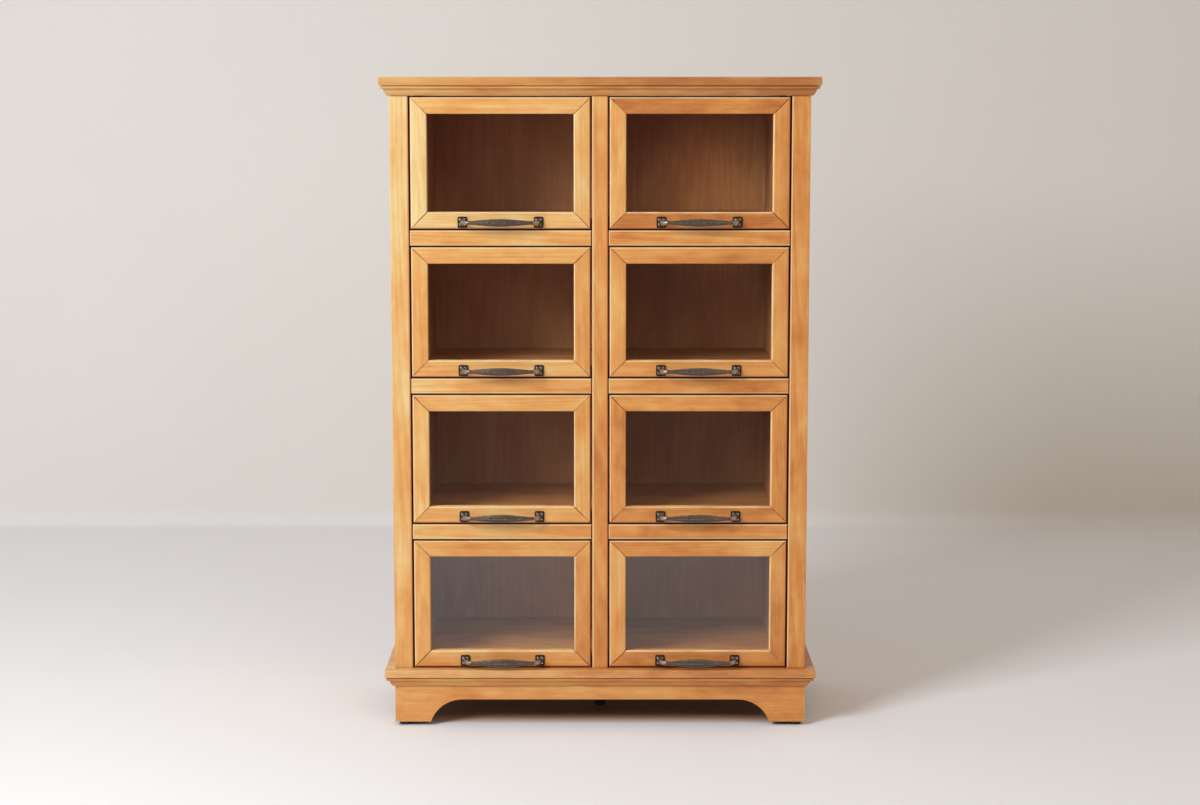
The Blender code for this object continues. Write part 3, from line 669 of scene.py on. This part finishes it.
def pine_board(node, along, seed, tones, rub_and_highlight, board_tint=None, coords=None, sheen=SATIN_SHEEN):
    """Pine for one packed board. tones: at its low and its high end along the grain."""
    material, tree, shader = new_material("pine_" + node)
    low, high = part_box(node)
    here = object_place(tree)
    part = split(tree, here)
    if coords is None:
        turned = place(tree, "Mapping", {"Vector": here, "Rotation": TURN[along]}).outputs[0]
    else:
        turned = coords(tree, here)
    axis = AXIS[along]
    ends = {0: part[axis], 1: low[axis], 2: high[axis], 3: tones[0], 4: tones[1]}
    in_front = node.startswith("face_")
    grain = {
        "Board": turned,
        "Seed": seed,
        "Tone": place(tree, "MapRange", ends).outputs[0],
        "Growth": BOLD_GROWTH if in_front and node not in STRAIGHT_GRAIN else CALM_GROWTH,
        "Clouds": CALM_CLOUDS.get(node, 1.0),
        "Stain": board_tint or BROWNER.get(node, PLAIN),
    }
    grain = use_group(tree, PINE, grain)
    edges = {"Place": here, "Low": low, "High": high, "Color": grain["Color"], "Rub and highlight": rub_and_highlight}
    colour = use_group(tree, EDGES, edges)["Color"]
    rough = grain["Roughness"]
    coat = LACQUER_COAT
    if in_front:
        shaded = front_edges(tree, node, part, colour, rough)
        colour, rough, coat = shaded["Color"], shaded["Roughness"], shaded["Coat"]
    # A painted pool of light on the inner face of the back.
    if node == "back_panel":
        colour = painted_pool_of_light(tree, here, colour)
    # Painted shade on the underside and the inner faces of the plinth.
    if node in PLINTH_SHADE_PARTS:
        colour = blend_colours(tree, inner_side(tree, part), colour, PLINTH_UNDER_SHADE)
    lacquered(tree, shader, colour, rough, grain["Height"], coat, sheen)
    NODES[node].material_slots[0].material = material


print("boards with calmer clouds", len(CALM_CLOUDS))

# %% Board materials
# Each board: the way its grain runs, and its tone at its low and its high end, which is the stain with a
# painted shade where the tone deepens away from the lamp.
BOARDS = {
    "top_board": ("X", 0.60, 1.00),
    "carcass_top": ("X", 0.60, 0.80),
    "side_panel_left": ("Z", 0.50, 0.30),
    "side_panel_right": ("Z", 0.70, 0.60),
    "face_stile_left": ("Z", 0.48, 0.00),
    "face_stile_centre": ("Z", 0.82, 0.45),
    "face_stile_right": ("Z", 0.70, 0.62),
    "face_rail_1": ("X", 0.36, 0.80),
    "face_rail_2": ("X", 0.30, 0.80),
    "face_rail_3": ("X", 0.47, 0.62),
    "base_board": ("X", 0.32, 0.78),
    "front_apron": ("X", 0.50, 0.75),
    "rear_apron": ("X", 0.60, 0.70),
    "side_apron_left": ("Y", 0.50, 0.60),
    "side_apron_right": ("Y", 0.70, 0.70),
}
BOARD_SEED = 0.4
BOARD_SEED_STEP = 1.37
BOARD_RUB_AND_HIGHLIGHT = 0.5
FRONT_RUB_AND_HIGHLIGHT = 0.2

for index, (node, (along, *tones)) in enumerate(BOARDS.items()):
    rub_and_highlight = FRONT_RUB_AND_HIGHLIGHT if node.startswith("face_") else BOARD_RUB_AND_HIGHLIGHT
    pine_board(node, along, BOARD_SEED + BOARD_SEED_STEP * index, tones, rub_and_highlight)
print("boards", len(BOARDS))

# %% [markdown]
# ## The mouldings
# Crown and base moulding are each one mitred run round three sides. The grain has to turn with the run, so
# the material asks where a point lies: beyond the mitre it swaps X and Y. That needs no cut in the packed
# piece, and the joint shows where the grain changes its way.


# %% Moulding materials
def turn_at_mitre(node):
    """Board directions of a moulding: along X on its front run, along Y on its side runs."""
    low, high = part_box(node)

    def coords(tree, here):
        part = split(tree, here)
        from_side = sum_of(tree, "SUBTRACT", high.x, sum_of(tree, "ABSOLUTE", part[0]))
        from_front = sum_of(tree, "SUBTRACT", part[1], low.y)
        on_side = sum_of(tree, "GREATER_THAN", from_front, from_side)
        swapped = place(tree, "CombineXYZ", {0: part[1], 1: part[0], 2: part[2]}).outputs[0]
        return mix_of(tree, "VECTOR", on_side, here, swapped)

    return coords


MOULDINGS = {"crown_moulding": (0.50, 1.00), "base_moulding": (0.45, 0.85)}
MOULDING_SEED = 31.3
MOULDING_SEED_STEP = 2.9
MOULDING_RUB_AND_HIGHLIGHT = 0.25

for index, (node, tones) in enumerate(MOULDINGS.items()):
    seed = MOULDING_SEED + MOULDING_SEED_STEP * index
    pine_board(node, "X", seed, tones, MOULDING_RUB_AND_HIGHLIGHT, coords=turn_at_mitre(node))
print("mouldings", len(MOULDINGS))

# %% [markdown]
# ## The inside
# Through the glass the inside looks dark brown. It has the same pine at a deep tone, tinted darker and a
# little bluer, and the case shades it. The back and the walls carry upright grain, the shelves carry it
# across.

# %% Inside materials
INSIDE_TINT = (0.75, 0.75, 0.95, 1)
INSIDE_TONES = (0.75, 0.75)
INSIDE = {
    "back_panel": "Z",
    "inner_wall_left": "Z",
    "inner_wall_right": "Z",
    "centre_partition": "Z",
    "shelf_1": "X",
    "shelf_2": "X",
    "shelf_3": "X",
    "bottom_panel": "X",
}
INSIDE_SEED = 51.7
INSIDE_SEED_STEP = 1.61
INSIDE_RUB_AND_HIGHLIGHT = 0.3
INSIDE_SHEEN = 0.5

for index, (node, along) in enumerate(INSIDE.items()):
    seed = INSIDE_SEED + INSIDE_SEED_STEP * index
    pine_board(node, along, seed, INSIDE_TONES, INSIDE_RUB_AND_HIGHLIGHT, board_tint=INSIDE_TINT, sheen=INSIDE_SHEEN)
print("inside boards", len(INSIDE))

# %% [markdown]
# ## The door frames
# A door is four members glued up with mitres, and each member is its own length of wood, with its own grain
# and tone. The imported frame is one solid, so each member is drawn anew, as one moulded section carried from
# mitre to mitre. The section has a rounded outer edge, a softened edge round the window and the groove that
# holds the pane. The ends stop a hair short and are chamfered, which gives the fine dark line in each corner.

# %% Door sizes from the frame
DOOR_LOW, DOOR_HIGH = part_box("door_frame_r1_left")
PANE_LOW, PANE_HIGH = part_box("glass_r1_left")
DOOR_WIDTH = DOOR_HIGH.x - DOOR_LOW.x
DOOR_HEIGHT = DOOR_HIGH.z - DOOR_LOW.z
DOOR_DEPTH = DOOR_HIGH.y - DOOR_LOW.y
PANE_BITE = 0.006
GROOVE_PLAY = 0.0003
MEMBER = PANE_LOW.x + PANE_BITE - DOOR_LOW.x
PANE_SETBACK = PANE_LOW.y - DOOR_LOW.y
PANE_BACK = PANE_HIGH.y - DOOR_LOW.y
OUTER_ROUND = 0.002
SIGHT_ROUND = 0.002
BACK_CHAMFER = 0.0008
print("door", [round(v * 1000, 2) for v in (DOOR_WIDTH, DOOR_HEIGHT, DOOR_DEPTH, MEMBER, PANE_SETBACK)])


# %% Member section
def quarter(centre, radius, start, steps=5):
    """Points of a quarter round, as (from the outer edge, from the face). start: in quarter turns."""
    points = []
    for step in range(steps + 1):
        turn = math.pi / 2 * (start + step / steps)
        points.append((centre[0] + radius * math.cos(turn), centre[1] + radius * math.sin(turn)))
    return points


def member_section():
    groove = MEMBER - PANE_BITE - GROOVE_PLAY
    section = quarter((OUTER_ROUND, OUTER_ROUND), OUTER_ROUND, 2)
    section += quarter((MEMBER - SIGHT_ROUND, SIGHT_ROUND), SIGHT_ROUND, 3)
    section += [(MEMBER, PANE_SETBACK - GROOVE_PLAY), (groove, PANE_SETBACK - GROOVE_PLAY)]
    section += [(groove, PANE_BACK + GROOVE_PLAY), (MEMBER, PANE_BACK + GROOVE_PLAY)]
    section += [(MEMBER, DOOR_DEPTH - BACK_CHAMFER), (MEMBER - BACK_CHAMFER, DOOR_DEPTH)]
    section += quarter((OUTER_ROUND, DOOR_DEPTH - OUTER_ROUND), OUTER_ROUND, 1)
    return section


MEMBER_SECTION = member_section()
print("section points", len(MEMBER_SECTION))


# %% Mesh helpers
def skin(shape, rings):
    """Four-sided faces between each ring of points and the next."""
    for first, second in zip(rings, rings[1:]):
        for i in range(len(first)):
            j = (i + 1) % len(first)
            shape.faces.new((first[i], first[j], second[j], second[i]))


def smooth_mesh(shape, name, sharp_angle):
    """The finished mesh, smooth except at edges sharper than the angle, in degrees."""
    bmesh.ops.recalc_face_normals(shape, faces=shape.faces)
    mesh = bpy.data.meshes.new(name)
    shape.to_mesh(mesh)
    shape.free()
    mesh.shade_smooth()
    mesh.set_sharp_from_angle(angle=math.radians(sharp_angle))
    return mesh


print("mesh helpers ready")

# %% One glued-up frame
MITRE_GAP = 0.00005
MITRE_CHAMFER = 0.0003
MEMBER_ENDS = ((-1, 0.0), (-1, MITRE_CHAMFER), (1, MITRE_CHAMFER), (1, 0.0))
GRAIN_SHIFT = 0.83
GRAIN_SHIFT_ACROSS = 0.31
FRAME_SHARP = 32


def add_member(shape, layers, place_no, tone, seed):
    """One member, carried from mitre to mitre. place_no: 0 top, 1 left, 2 bottom, 3 right."""
    grain, joint, spot = layers
    across = place_no % 2 == 0
    outside_lit = 1.0 if place_no < 2 else 0.0
    length = DOOR_WIDTH if across else DOOR_HEIGHT
    half_other = (DOOR_HEIGHT if across else DOOR_WIDTH) / 2
    turn = Matrix.Rotation(-math.pi / 2 * place_no, 3, "Y")
    along, aside = GRAIN_SHIFT * place_no, GRAIN_SHIFT_ACROSS * place_no
    rings = []
    for end, trim in MEMBER_ENDS:
        ring = []
        for inset, depth in MEMBER_SECTION:
            reach = length / 2 - inset - MITRE_GAP - trim
            depth_here = max(depth, MITRE_CHAMFER) if trim == 0.0 else depth
            corner = shape.verts.new(turn @ Vector((end * reach, depth_here, half_other - inset)))
            start = length / 2 - inset + end * reach
            corner[grain] = (end * reach + along, inset + aside, depth_here + seed)
            corner[joint] = (start, length - 2 * inset - start, outside_lit)
            corner[spot] = (inset, depth_here, tone)
            ring.append(corner)
        rings.append(ring)
    skin(shape, rings)
    shape.faces.new(rings[0][::-1])
    shape.faces.new(rings[-1])


def door_frame(name, seed, tones):
    """Four mitred members as one mesh, about the middle of the door's face. tones: in place_no's order."""
    shape = bmesh.new()
    layers = [shape.verts.layers.float_vector.new(title) for title in ("grain", "joint", "spot")]
    for place_no, tone in enumerate(tones):
        add_member(shape, layers, place_no, tone, seed)
    return smooth_mesh(shape, name, FRAME_SHARP)


print("members meet in mitres with a gap of", MITRE_GAP)

# %% [markdown]
# ## The finish of the doors
# The members bring their own directions as a vertex attribute, so one material serves all eight doors. It
# uses the same pine group, takes the tone of each member from another attribute and darkens the wood beside
# the mitre, where stain gathers. The rounded edges get a painted highlight in cream where they face the
# light, at the outside of the top and left members and round the window of the other two, and a painted
# shade, a deeper orange, where they turn away. The outer edges in the gap get the gap stain's painted shade.

# %% Door finish
JOINT_STAIN = (0.24, 0.030, 0.006, 1)
JOINT_LINE = (0.0018, 0.0008)
JOINT_FROM_EDGE = (0.0012, 0.0040)
JOINT_PATCHY = (0.38, 0.58, 0.25, 1.0)
PATCHY_STRETCH = (23.0, 23.0, 23.0)
SIGHT_EDGE = (MEMBER - 0.0032, MEMBER - 0.0012)
OUTER_EDGE = (0.0036, 0.0016)
NEAR_FACE = (0.0075, 0.0040)
HIGHLIGHT_PATCHY = (0.3, 0.7, 0.45, 0.85)
OUTSIDE_EDGE = (0.0012, 0.0007)

DOOR_PINE, tree, shader = new_material("pine_doors")
grain_at, joint_at, spot_at = [
    place(tree, "Attribute", attribute_name=title).outputs["Vector"] for title in ("grain", "joint", "spot")
]
from_start, from_end, outside_lit = split(tree, joint_at)
inset, depth, tone = split(tree, spot_at)
grain = use_group(tree, PINE, {"Board": grain_at, "Seed": 0.0, "Tone": tone})
patchy = cloud_of(tree, grain_at, PATCHY_STRETCH)
sight = step_between(tree, inset, *SIGHT_EDGE)
outer = step_between(tree, inset, *OUTER_EDGE)
near_face = step_between(tree, depth, *NEAR_FACE)
# Painted shade on the rounded edges that turn from the light, painted highlight in cream on those that face
# it.
turned = product(tree, mix_of(tree, "FLOAT", outside_lit, outer, 0.0), near_face)
colour = blend_colours(tree, product(tree, turned, SHADE_SHARE), grain["Color"], SHADE_ORANGE)
lit = mix_of(tree, "FLOAT", outside_lit, sight, outer)
worn_and_lit = product(tree, near_face, step_between(tree, patchy, *HIGHLIGHT_PATCHY))
colour = blend_colours(tree, product(tree, lit, worn_and_lit), colour, HIGHLIGHT_CREAM)
line = step_between(tree, sum_of(tree, "MINIMUM", from_start, from_end), *JOINT_LINE)
line = product(tree, line, step_between(tree, patchy, *JOINT_PATCHY))
line = product(tree, line, step_between(tree, inset, *JOINT_FROM_EDGE))
colour = blend_colours(tree, line, colour, JOINT_STAIN)
# Painted shade: the door's outer edges that look into the gap are painted dark.
gap = {"Color": colour, "Roughness": grain["Roughness"], "Depth": depth}
gap["Inward"] = step_between(tree, inset, *OUTSIDE_EDGE)
shaded = use_group(tree, GAPS, gap)
lacquered(tree, shader, shaded["Color"], shaded["Roughness"], grain["Height"], shaded["Coat"])
print("door finish nodes", len(tree.nodes))

# %% [markdown]
# ## Hanging the doors
# The eight frames have one size but not one colour: a maker cuts each from another plank. So each door gets
# a seed and four tones of its own; the deeper tones on the right are partly a painted shade, for the light
# falling off away from the lamp. A frame rides on its door's body and stands for the imported frame.

# %% Hang the doors
DOOR_TONES = {
    "r1_left": (0.4, 0.0, 0.1, 0.2),
    "r1_right": (0.95, 0.5, 0.85, 0.75),
    "r2_left": (0.3, 0.4, 0.4, 0.5),
    "r2_right": (0.6, 0.6, 0.6, 0.6),
    "r3_left": (0.4, 0.3, 0.4, 0.5),
    "r3_right": (0.8, 0.7, 0.7, 0.7),
    "r4_left": (0.5, 0.4, 0.6, 0.6),
    "r4_right": (0.7, 0.5, 0.8, 0.7),
}
DOOR_SEED = 5.3
DOOR_SEED_STEP = 2.17

for index, (door, tones) in enumerate(DOOR_TONES.items()):
    node = "door_frame_" + door
    low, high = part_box(node)
    mesh = door_frame("mitred_frame_" + door, DOOR_SEED + DOOR_SEED_STEP * index, tones)
    mesh.materials.append(DOOR_PINE)
    piece = add_object("mitred_frame_" + door, mesh)
    piece.location = ((low.x + high.x) / 2, low.y, (low.z + high.z) / 2)
    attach(piece, "door_" + door)
    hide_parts(node)
print("doors hung", len(DOOR_TONES))

# %% [markdown]
# ## The panes
# The panes are clear float glass, 3 mm thick. Real glass shaders block lamp light, so rays from the lamps
# pass through a Transparent shader instead, and the shelves behind stay lit. A faint unevenness keeps the
# reflections from looking computed.

# %% Glass
GLASS_TINT = (0.97, 0.985, 0.975, 1)
GLASS_SHADOW_TINT = (0.93, 0.95, 0.94, 1)
GLASS_IOR = 1.5
HAZE_STRETCH = (9.0, 9.0, 9.0)
HAZE_ROUGHNESS = (0.3, 0.8, 0.0, 0.035)

material, tree, shader = new_material("float_glass")
haze = step_between(tree, cloud_of(tree, object_place(tree), HAZE_STRETCH, detail=3), *HAZE_ROUGHNESS)
feed(tree, shader, {"Base Color": GLASS_TINT, "Transmission Weight": 1.0})
feed(tree, shader, {"IOR": GLASS_IOR, "Roughness": haze})
clear = place(tree, "BsdfTransparent", {"Color": GLASS_SHADOW_TINT})
mix_shaders(tree, place(tree, "LightPath").outputs["Is Shadow Ray"], shader, clear)
for door in DOOR_TONES:
    NODES["glass_" + door].material_slots[0].material = material
print("panes glazed", len(DOOR_TONES))

# %% [markdown]
# ## The pulls
# Each door has a cast bow pull: a grip that swells in the middle and has lengthwise ridges, two necks that
# bend back, and two small square plates with a plain four-lobed boss. The grip is one section carried along
# a path and scaled on the way, which gives the swell and the ridges in one go. The plate is a polar grid,
# pressed up like a coin, so that its lobes and rim are real relief.

# %% Pull sizes from the frame
PULL_LOW, PULL_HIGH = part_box("pull_r1_left")
PLATE_WIDTH = 0.018
PLATE_HEIGHT = PULL_HIGH.z - PULL_LOW.z
PLATE_CORNER = 0.003
PLATE_SEAT = 0.0003
PULL_SPACING = PULL_HIGH.x - PULL_LOW.x - PLATE_WIDTH
GRIP_HEIGHT = 0.016
GRIP_DEPTH = 0.0115
GRIP_REACH = DOOR_LOW.y - PULL_LOW.y - GRIP_DEPTH / 2
NECK = 0.0038
POST = 0.0060
BEND = 0.016
print("pull", [round(v * 1000, 2) for v in (PLATE_HEIGHT, PULL_SPACING, GRIP_REACH)])

# %% Grip
POST_LIFT = 0.0012
POST_FLARE = 1.12
SWELL_POWER = 1.15
RIDGES = 6
RIDGE_DEPTH = 0.085
RIDGE_WEAR = 0.6
BEND_HIGHLIGHT = 0.7


def grip_path(bend_steps=12, grip_steps=26):
    """The grip's centre line: x, distance from the door, turn of the bend, half height, ridging."""
    half = [(-PULL_SPACING / 2, PLATE_SEAT + POST_LIFT, 0.0, POST * POST_FLARE, 0.0)]
    for step in range(bend_steps + 1):
        share = step / bend_steps
        turn = math.pi / 2 * share
        x = -PULL_SPACING / 2 + BEND * (1 - math.cos(turn))
        y = GRIP_REACH - BEND + BEND * math.sin(turn)
        half.append((x, y, turn, NECK + (POST - NECK) * (1 - share) ** 2, share ** 3))
    straight = PULL_SPACING / 2 - BEND
    for step in range(1, grip_steps + 1):
        share = step / grip_steps
        swell = math.sin(math.pi / 2 * share) ** SWELL_POWER
        radius = NECK + (GRIP_HEIGHT / 2 - NECK) * swell
        half.append((-straight * (1 - share), GRIP_REACH, math.pi / 2, radius, 1.0))
    return half + [(-x, y, math.pi - turn, radius, ridge) for x, y, turn, radius, ridge in half[-2::-1]]


def add_grip(shape, wear_and_highlight_layer, points=48):
    rings = []
    for x, y, turn, radius, ridge in grip_path():
        ring = []
        for i in range(points):
            angle = 2 * math.pi * i / points
            hollow = abs(math.sin(angle * RIDGES / 2))
            scale = radius * (1 - RIDGE_DEPTH * ridge * hollow)
            out = scale * math.cos(angle) * GRIP_DEPTH / GRIP_HEIGHT
            up = scale * math.sin(angle)
            corner = shape.verts.new((x - out * math.cos(turn), -y - out * math.sin(turn), up))
            # The bends of the necks get a painted highlight on top of the wear of the ridges.
            lit_bend = math.sin(2 * turn) ** 2
            corner[wear_and_highlight_layer] = RIDGE_WEAR * ridge * (1 - hollow) ** 2 + BEND_HIGHLIGHT * lit_bend
            ring.append(corner)
        rings.append(ring)
    skin(shape, rings)
    shape.faces.new(rings[0])
    shape.faces.new(rings[-1][::-1])


print("grip stations", len(grip_path()))

# %% Plate
PLATE_FOOT = 0.0009
RIM_HEIGHT = 0.0021
RIM_START = 0.86
RIM_POWER = 2.5
HOLLOW_DEPTH = 0.0006
HOLLOW_AT = 0.74
HOLLOW_WIDTH = 0.09
LOBE_ASIDE = 0.0040
LOBE_UP = 0.0049
LOBE_RADIUS = 0.0034
LOBE_HEIGHT = 0.0009
LOBE_TOP = 0.0030
LOBE_WEAR = 1.25
PLATE_PATINA = 0.30
WIDEST_REACH = 0.02
HALVINGS = 40


def plate_outline(angle):
    """Distance from the plate's middle to its rounded-square edge, in a direction."""
    across, up = math.cos(angle), math.sin(angle)
    low, high = 0.0, WIDEST_REACH
    for _ in range(HALVINGS):
        reach = (low + high) / 2
        x = abs(reach * across) - (PLATE_WIDTH / 2 - PLATE_CORNER)
        y = abs(reach * up) - (PLATE_HEIGHT / 2 - PLATE_CORNER)
        outside = math.hypot(max(x, 0), max(y, 0)) + min(max(x, y), 0) > PLATE_CORNER
        low, high = (low, reach) if outside else (reach, high)
    return low


def plate_relief(x, z, share):
    """Height of the plate above its foot: a rounded rim, a hollow inside it and four round lobes."""
    rim = RIM_HEIGHT * (1 - max(0.0, (share - RIM_START) / (1 - RIM_START)) ** RIM_POWER)
    hollow = HOLLOW_DEPTH * math.exp(-(((share - HOLLOW_AT) / HOLLOW_WIDTH) ** 2))
    lobes = 0.0
    for sx in (-1, 1):
        for sz in (-1, 1):
            away = math.hypot(x - sx * LOBE_ASIDE, z - sz * LOBE_UP) / LOBE_RADIUS
            lobes = max(lobes, LOBE_HEIGHT * math.sqrt(max(0.0, 1 - away * away)))
    return rim - hollow + lobes


def add_plate(shape, wear_and_highlight_layer, middle, turns=64, rings=18):
    layers = []
    for ring in range(1, rings + 1):
        share = ring / rings
        line = []
        for i in range(turns):
            angle = 2 * math.pi * i / turns
            reach = plate_outline(angle) * share
            x, z = reach * math.cos(angle), reach * math.sin(angle)
            high = plate_relief(x, z, share)
            corner = shape.verts.new((middle + x, -PLATE_SEAT - high - PLATE_FOOT, z))
            corner[wear_and_highlight_layer] = LOBE_WEAR * min(1.0, high / LOBE_TOP) ** 6 - PLATE_PATINA
            line.append(corner)
        layers.append(line)
    foot = [shape.verts.new((v.co.x, -PLATE_SEAT, v.co.z)) for v in layers[-1]]
    layers.append(foot)
    skin(shape, layers)
    shape.faces.new(layers[0][::-1])
    shape.faces.new(foot)


print("plate reach", round(plate_outline(0.0) * 1000, 2), round(plate_outline(math.pi / 2) * 1000, 2))

# %% [markdown]
# ## The pull metal
# The pulls look like dark, aged bronze. A brown-black patina lies in the hollows, and hands have rubbed the
# ridges and the tops of the lobes back to a warmer, lighter metal. The bends of the necks get that lighter
# metal too, as a painted highlight. The ridge attribute says where all that is, and noise breaks it up.
# Small pits and a soft unevenness keep it cast rather than polished.

# %% Aged bronze
PATINA_STRETCH = (160.0, 160.0, 160.0)
PATINA_TONES = ((0.072, 0.051, 0.038, 1), (0.132, 0.097, 0.071, 1))
PATINA_METALLIC = 0.7
PATINA_ROUGHNESS = (0.25, 0.75, 0.29, 0.42)
HOLLOW_TONE = (0.030, 0.024, 0.020, 1)
HOLLOW_STEP = (0.05, -0.25)
# The rubbed metal, also used for the painted highlight on the necks.
WORN_AND_LIT_TONE = (0.60, 0.50, 0.41, 1)
WORN_STEP = (0.65, 1.45)
WORN_PATCHY = 0.9
WORN_METALLIC = 0.3
WORN_ROUGHNESS = -0.17
PIT_STRETCH = (1500.0, 1500.0, 1500.0)
PIT_STEP = (0.62, 0.75)
PIT_TONE = (0.03, 0.025, 0.02, 1)
PIT_SHARE = 0.5
PIT_RELIEF = -0.6
CAST_STRENGTH = 0.25
CAST_DEPTH = 0.0002

BRONZE, tree, shader = new_material("aged_bronze")
here = object_place(tree)
ridge = place(tree, "Attribute", attribute_name="ridge").outputs["Fac"]
patch = cloud_of(tree, here, PATINA_STRETCH, detail=4)
pits = step_between(tree, cloud_of(tree, here, PIT_STRETCH, detail=1), *PIT_STEP)
worn_and_lit = step_between(tree, sum_of(tree, "MULTIPLY_ADD", patch, WORN_PATCHY, ridge), *WORN_STEP)
metal = blend_colours(tree, patch, *PATINA_TONES)
metal = blend_colours(tree, step_between(tree, ridge, *HOLLOW_STEP), metal, HOLLOW_TONE)
metal = blend_colours(tree, worn_and_lit, metal, WORN_AND_LIT_TONE)
dull = step_between(tree, patch, *PATINA_ROUGHNESS)
finish = {
    "Base Color": blend_colours(tree, product(tree, pits, PIT_SHARE), metal, PIT_TONE),
    "Metallic": sum_of(tree, "MULTIPLY_ADD", worn_and_lit, WORN_METALLIC, PATINA_METALLIC),
    "Roughness": sum_of(tree, "MULTIPLY_ADD", worn_and_lit, WORN_ROUGHNESS, dull),
}
feed(tree, shader, finish)
relief = sum_of(tree, "MULTIPLY_ADD", pits, PIT_RELIEF, patch)
add_bump(tree, shader, relief, CAST_STRENGTH, CAST_DEPTH)
print("bronze nodes", len(tree.nodes))

# %% [markdown]
# ## Fitting the pulls
# All pulls come from one mould, so one mesh serves all eight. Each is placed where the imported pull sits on
# its door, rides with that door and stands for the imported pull.

# %% Fit the pulls
PULL_SHARP = 38

shape = bmesh.new()
wear_and_highlight_layer = shape.verts.layers.float.new("ridge")
add_grip(shape, wear_and_highlight_layer)
for side in (-1, 1):
    add_plate(shape, wear_and_highlight_layer, side * PULL_SPACING / 2)
pull_mesh = smooth_mesh(shape, "bow_pull", PULL_SHARP)
pull_mesh.materials.append(BRONZE)
for door in DOOR_TONES:
    low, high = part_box("pull_" + door)
    piece = add_object("bow_pull_" + door, pull_mesh)
    piece.location = ((low.x + high.x) / 2, DOOR_LOW.y, (low.z + high.z) / 2)
    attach(piece, "door_" + door)
    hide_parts("pull_" + door)
print("pull faces", len(pull_mesh.polygons))

# %% [markdown]
# ## Rods and feet
# The doors turn on plain rods of dark, oiled steel that hardly show. Drawing leaves fine lines along them,
# so the noise is stretched that way. Under the plinth sit small black moulded glides and one centre foot.
# Moulded plastic has a fine even texture and a slightly scuffed, duller skin.

# %% Drawn steel
DRAWN_STRETCH = (8.0, 2200.0, 2200.0)
STEEL_TONES = ((0.060, 0.054, 0.050, 1), (0.120, 0.112, 0.106, 1))
STEEL_ROUGHNESS = (0.3, 0.7, 0.24, 0.38)

STEEL, tree, shader = new_material("drawn_steel")
lines = cloud_of(tree, object_place(tree), DRAWN_STRETCH)
finish = {
    "Base Color": blend_colours(tree, lines, *STEEL_TONES),
    "Metallic": 1.0,
    "Roughness": step_between(tree, lines, *STEEL_ROUGHNESS),
}
feed(tree, shader, finish)
print("steel nodes", len(tree.nodes))

# %% Moulded plastic
STIPPLE_STRETCH = (1300.0, 1300.0, 1300.0)
STIPPLE_STRENGTH = 0.3
STIPPLE_DEPTH = 0.0002
SCUFF_STRETCH = (90.0, 90.0, 90.0)
SCUFF_TONES = ((0.010, 0.010, 0.010, 1), (0.026, 0.025, 0.024, 1))
SCUFF_ROUGHNESS = (0.3, 0.7, 0.38, 0.58)

BLACK, tree, shader = new_material("moulded_black")
here = object_place(tree)
scuff = cloud_of(tree, here, SCUFF_STRETCH, detail=4)
finish = {
    "Base Color": blend_colours(tree, scuff, *SCUFF_TONES),
    "Roughness": step_between(tree, scuff, *SCUFF_ROUGHNESS),
}
feed(tree, shader, finish)
add_bump(tree, shader, cloud_of(tree, here, STIPPLE_STRETCH), STIPPLE_STRENGTH, STIPPLE_DEPTH)

for name, node in NODES.items():
    if name.startswith("pivot_rod"):
        node.material_slots[0].material = STEEL
    if name.startswith("glide_") or name == "centre_foot":
        node.material_slots[0].material = BLACK
print("rods and feet dressed")
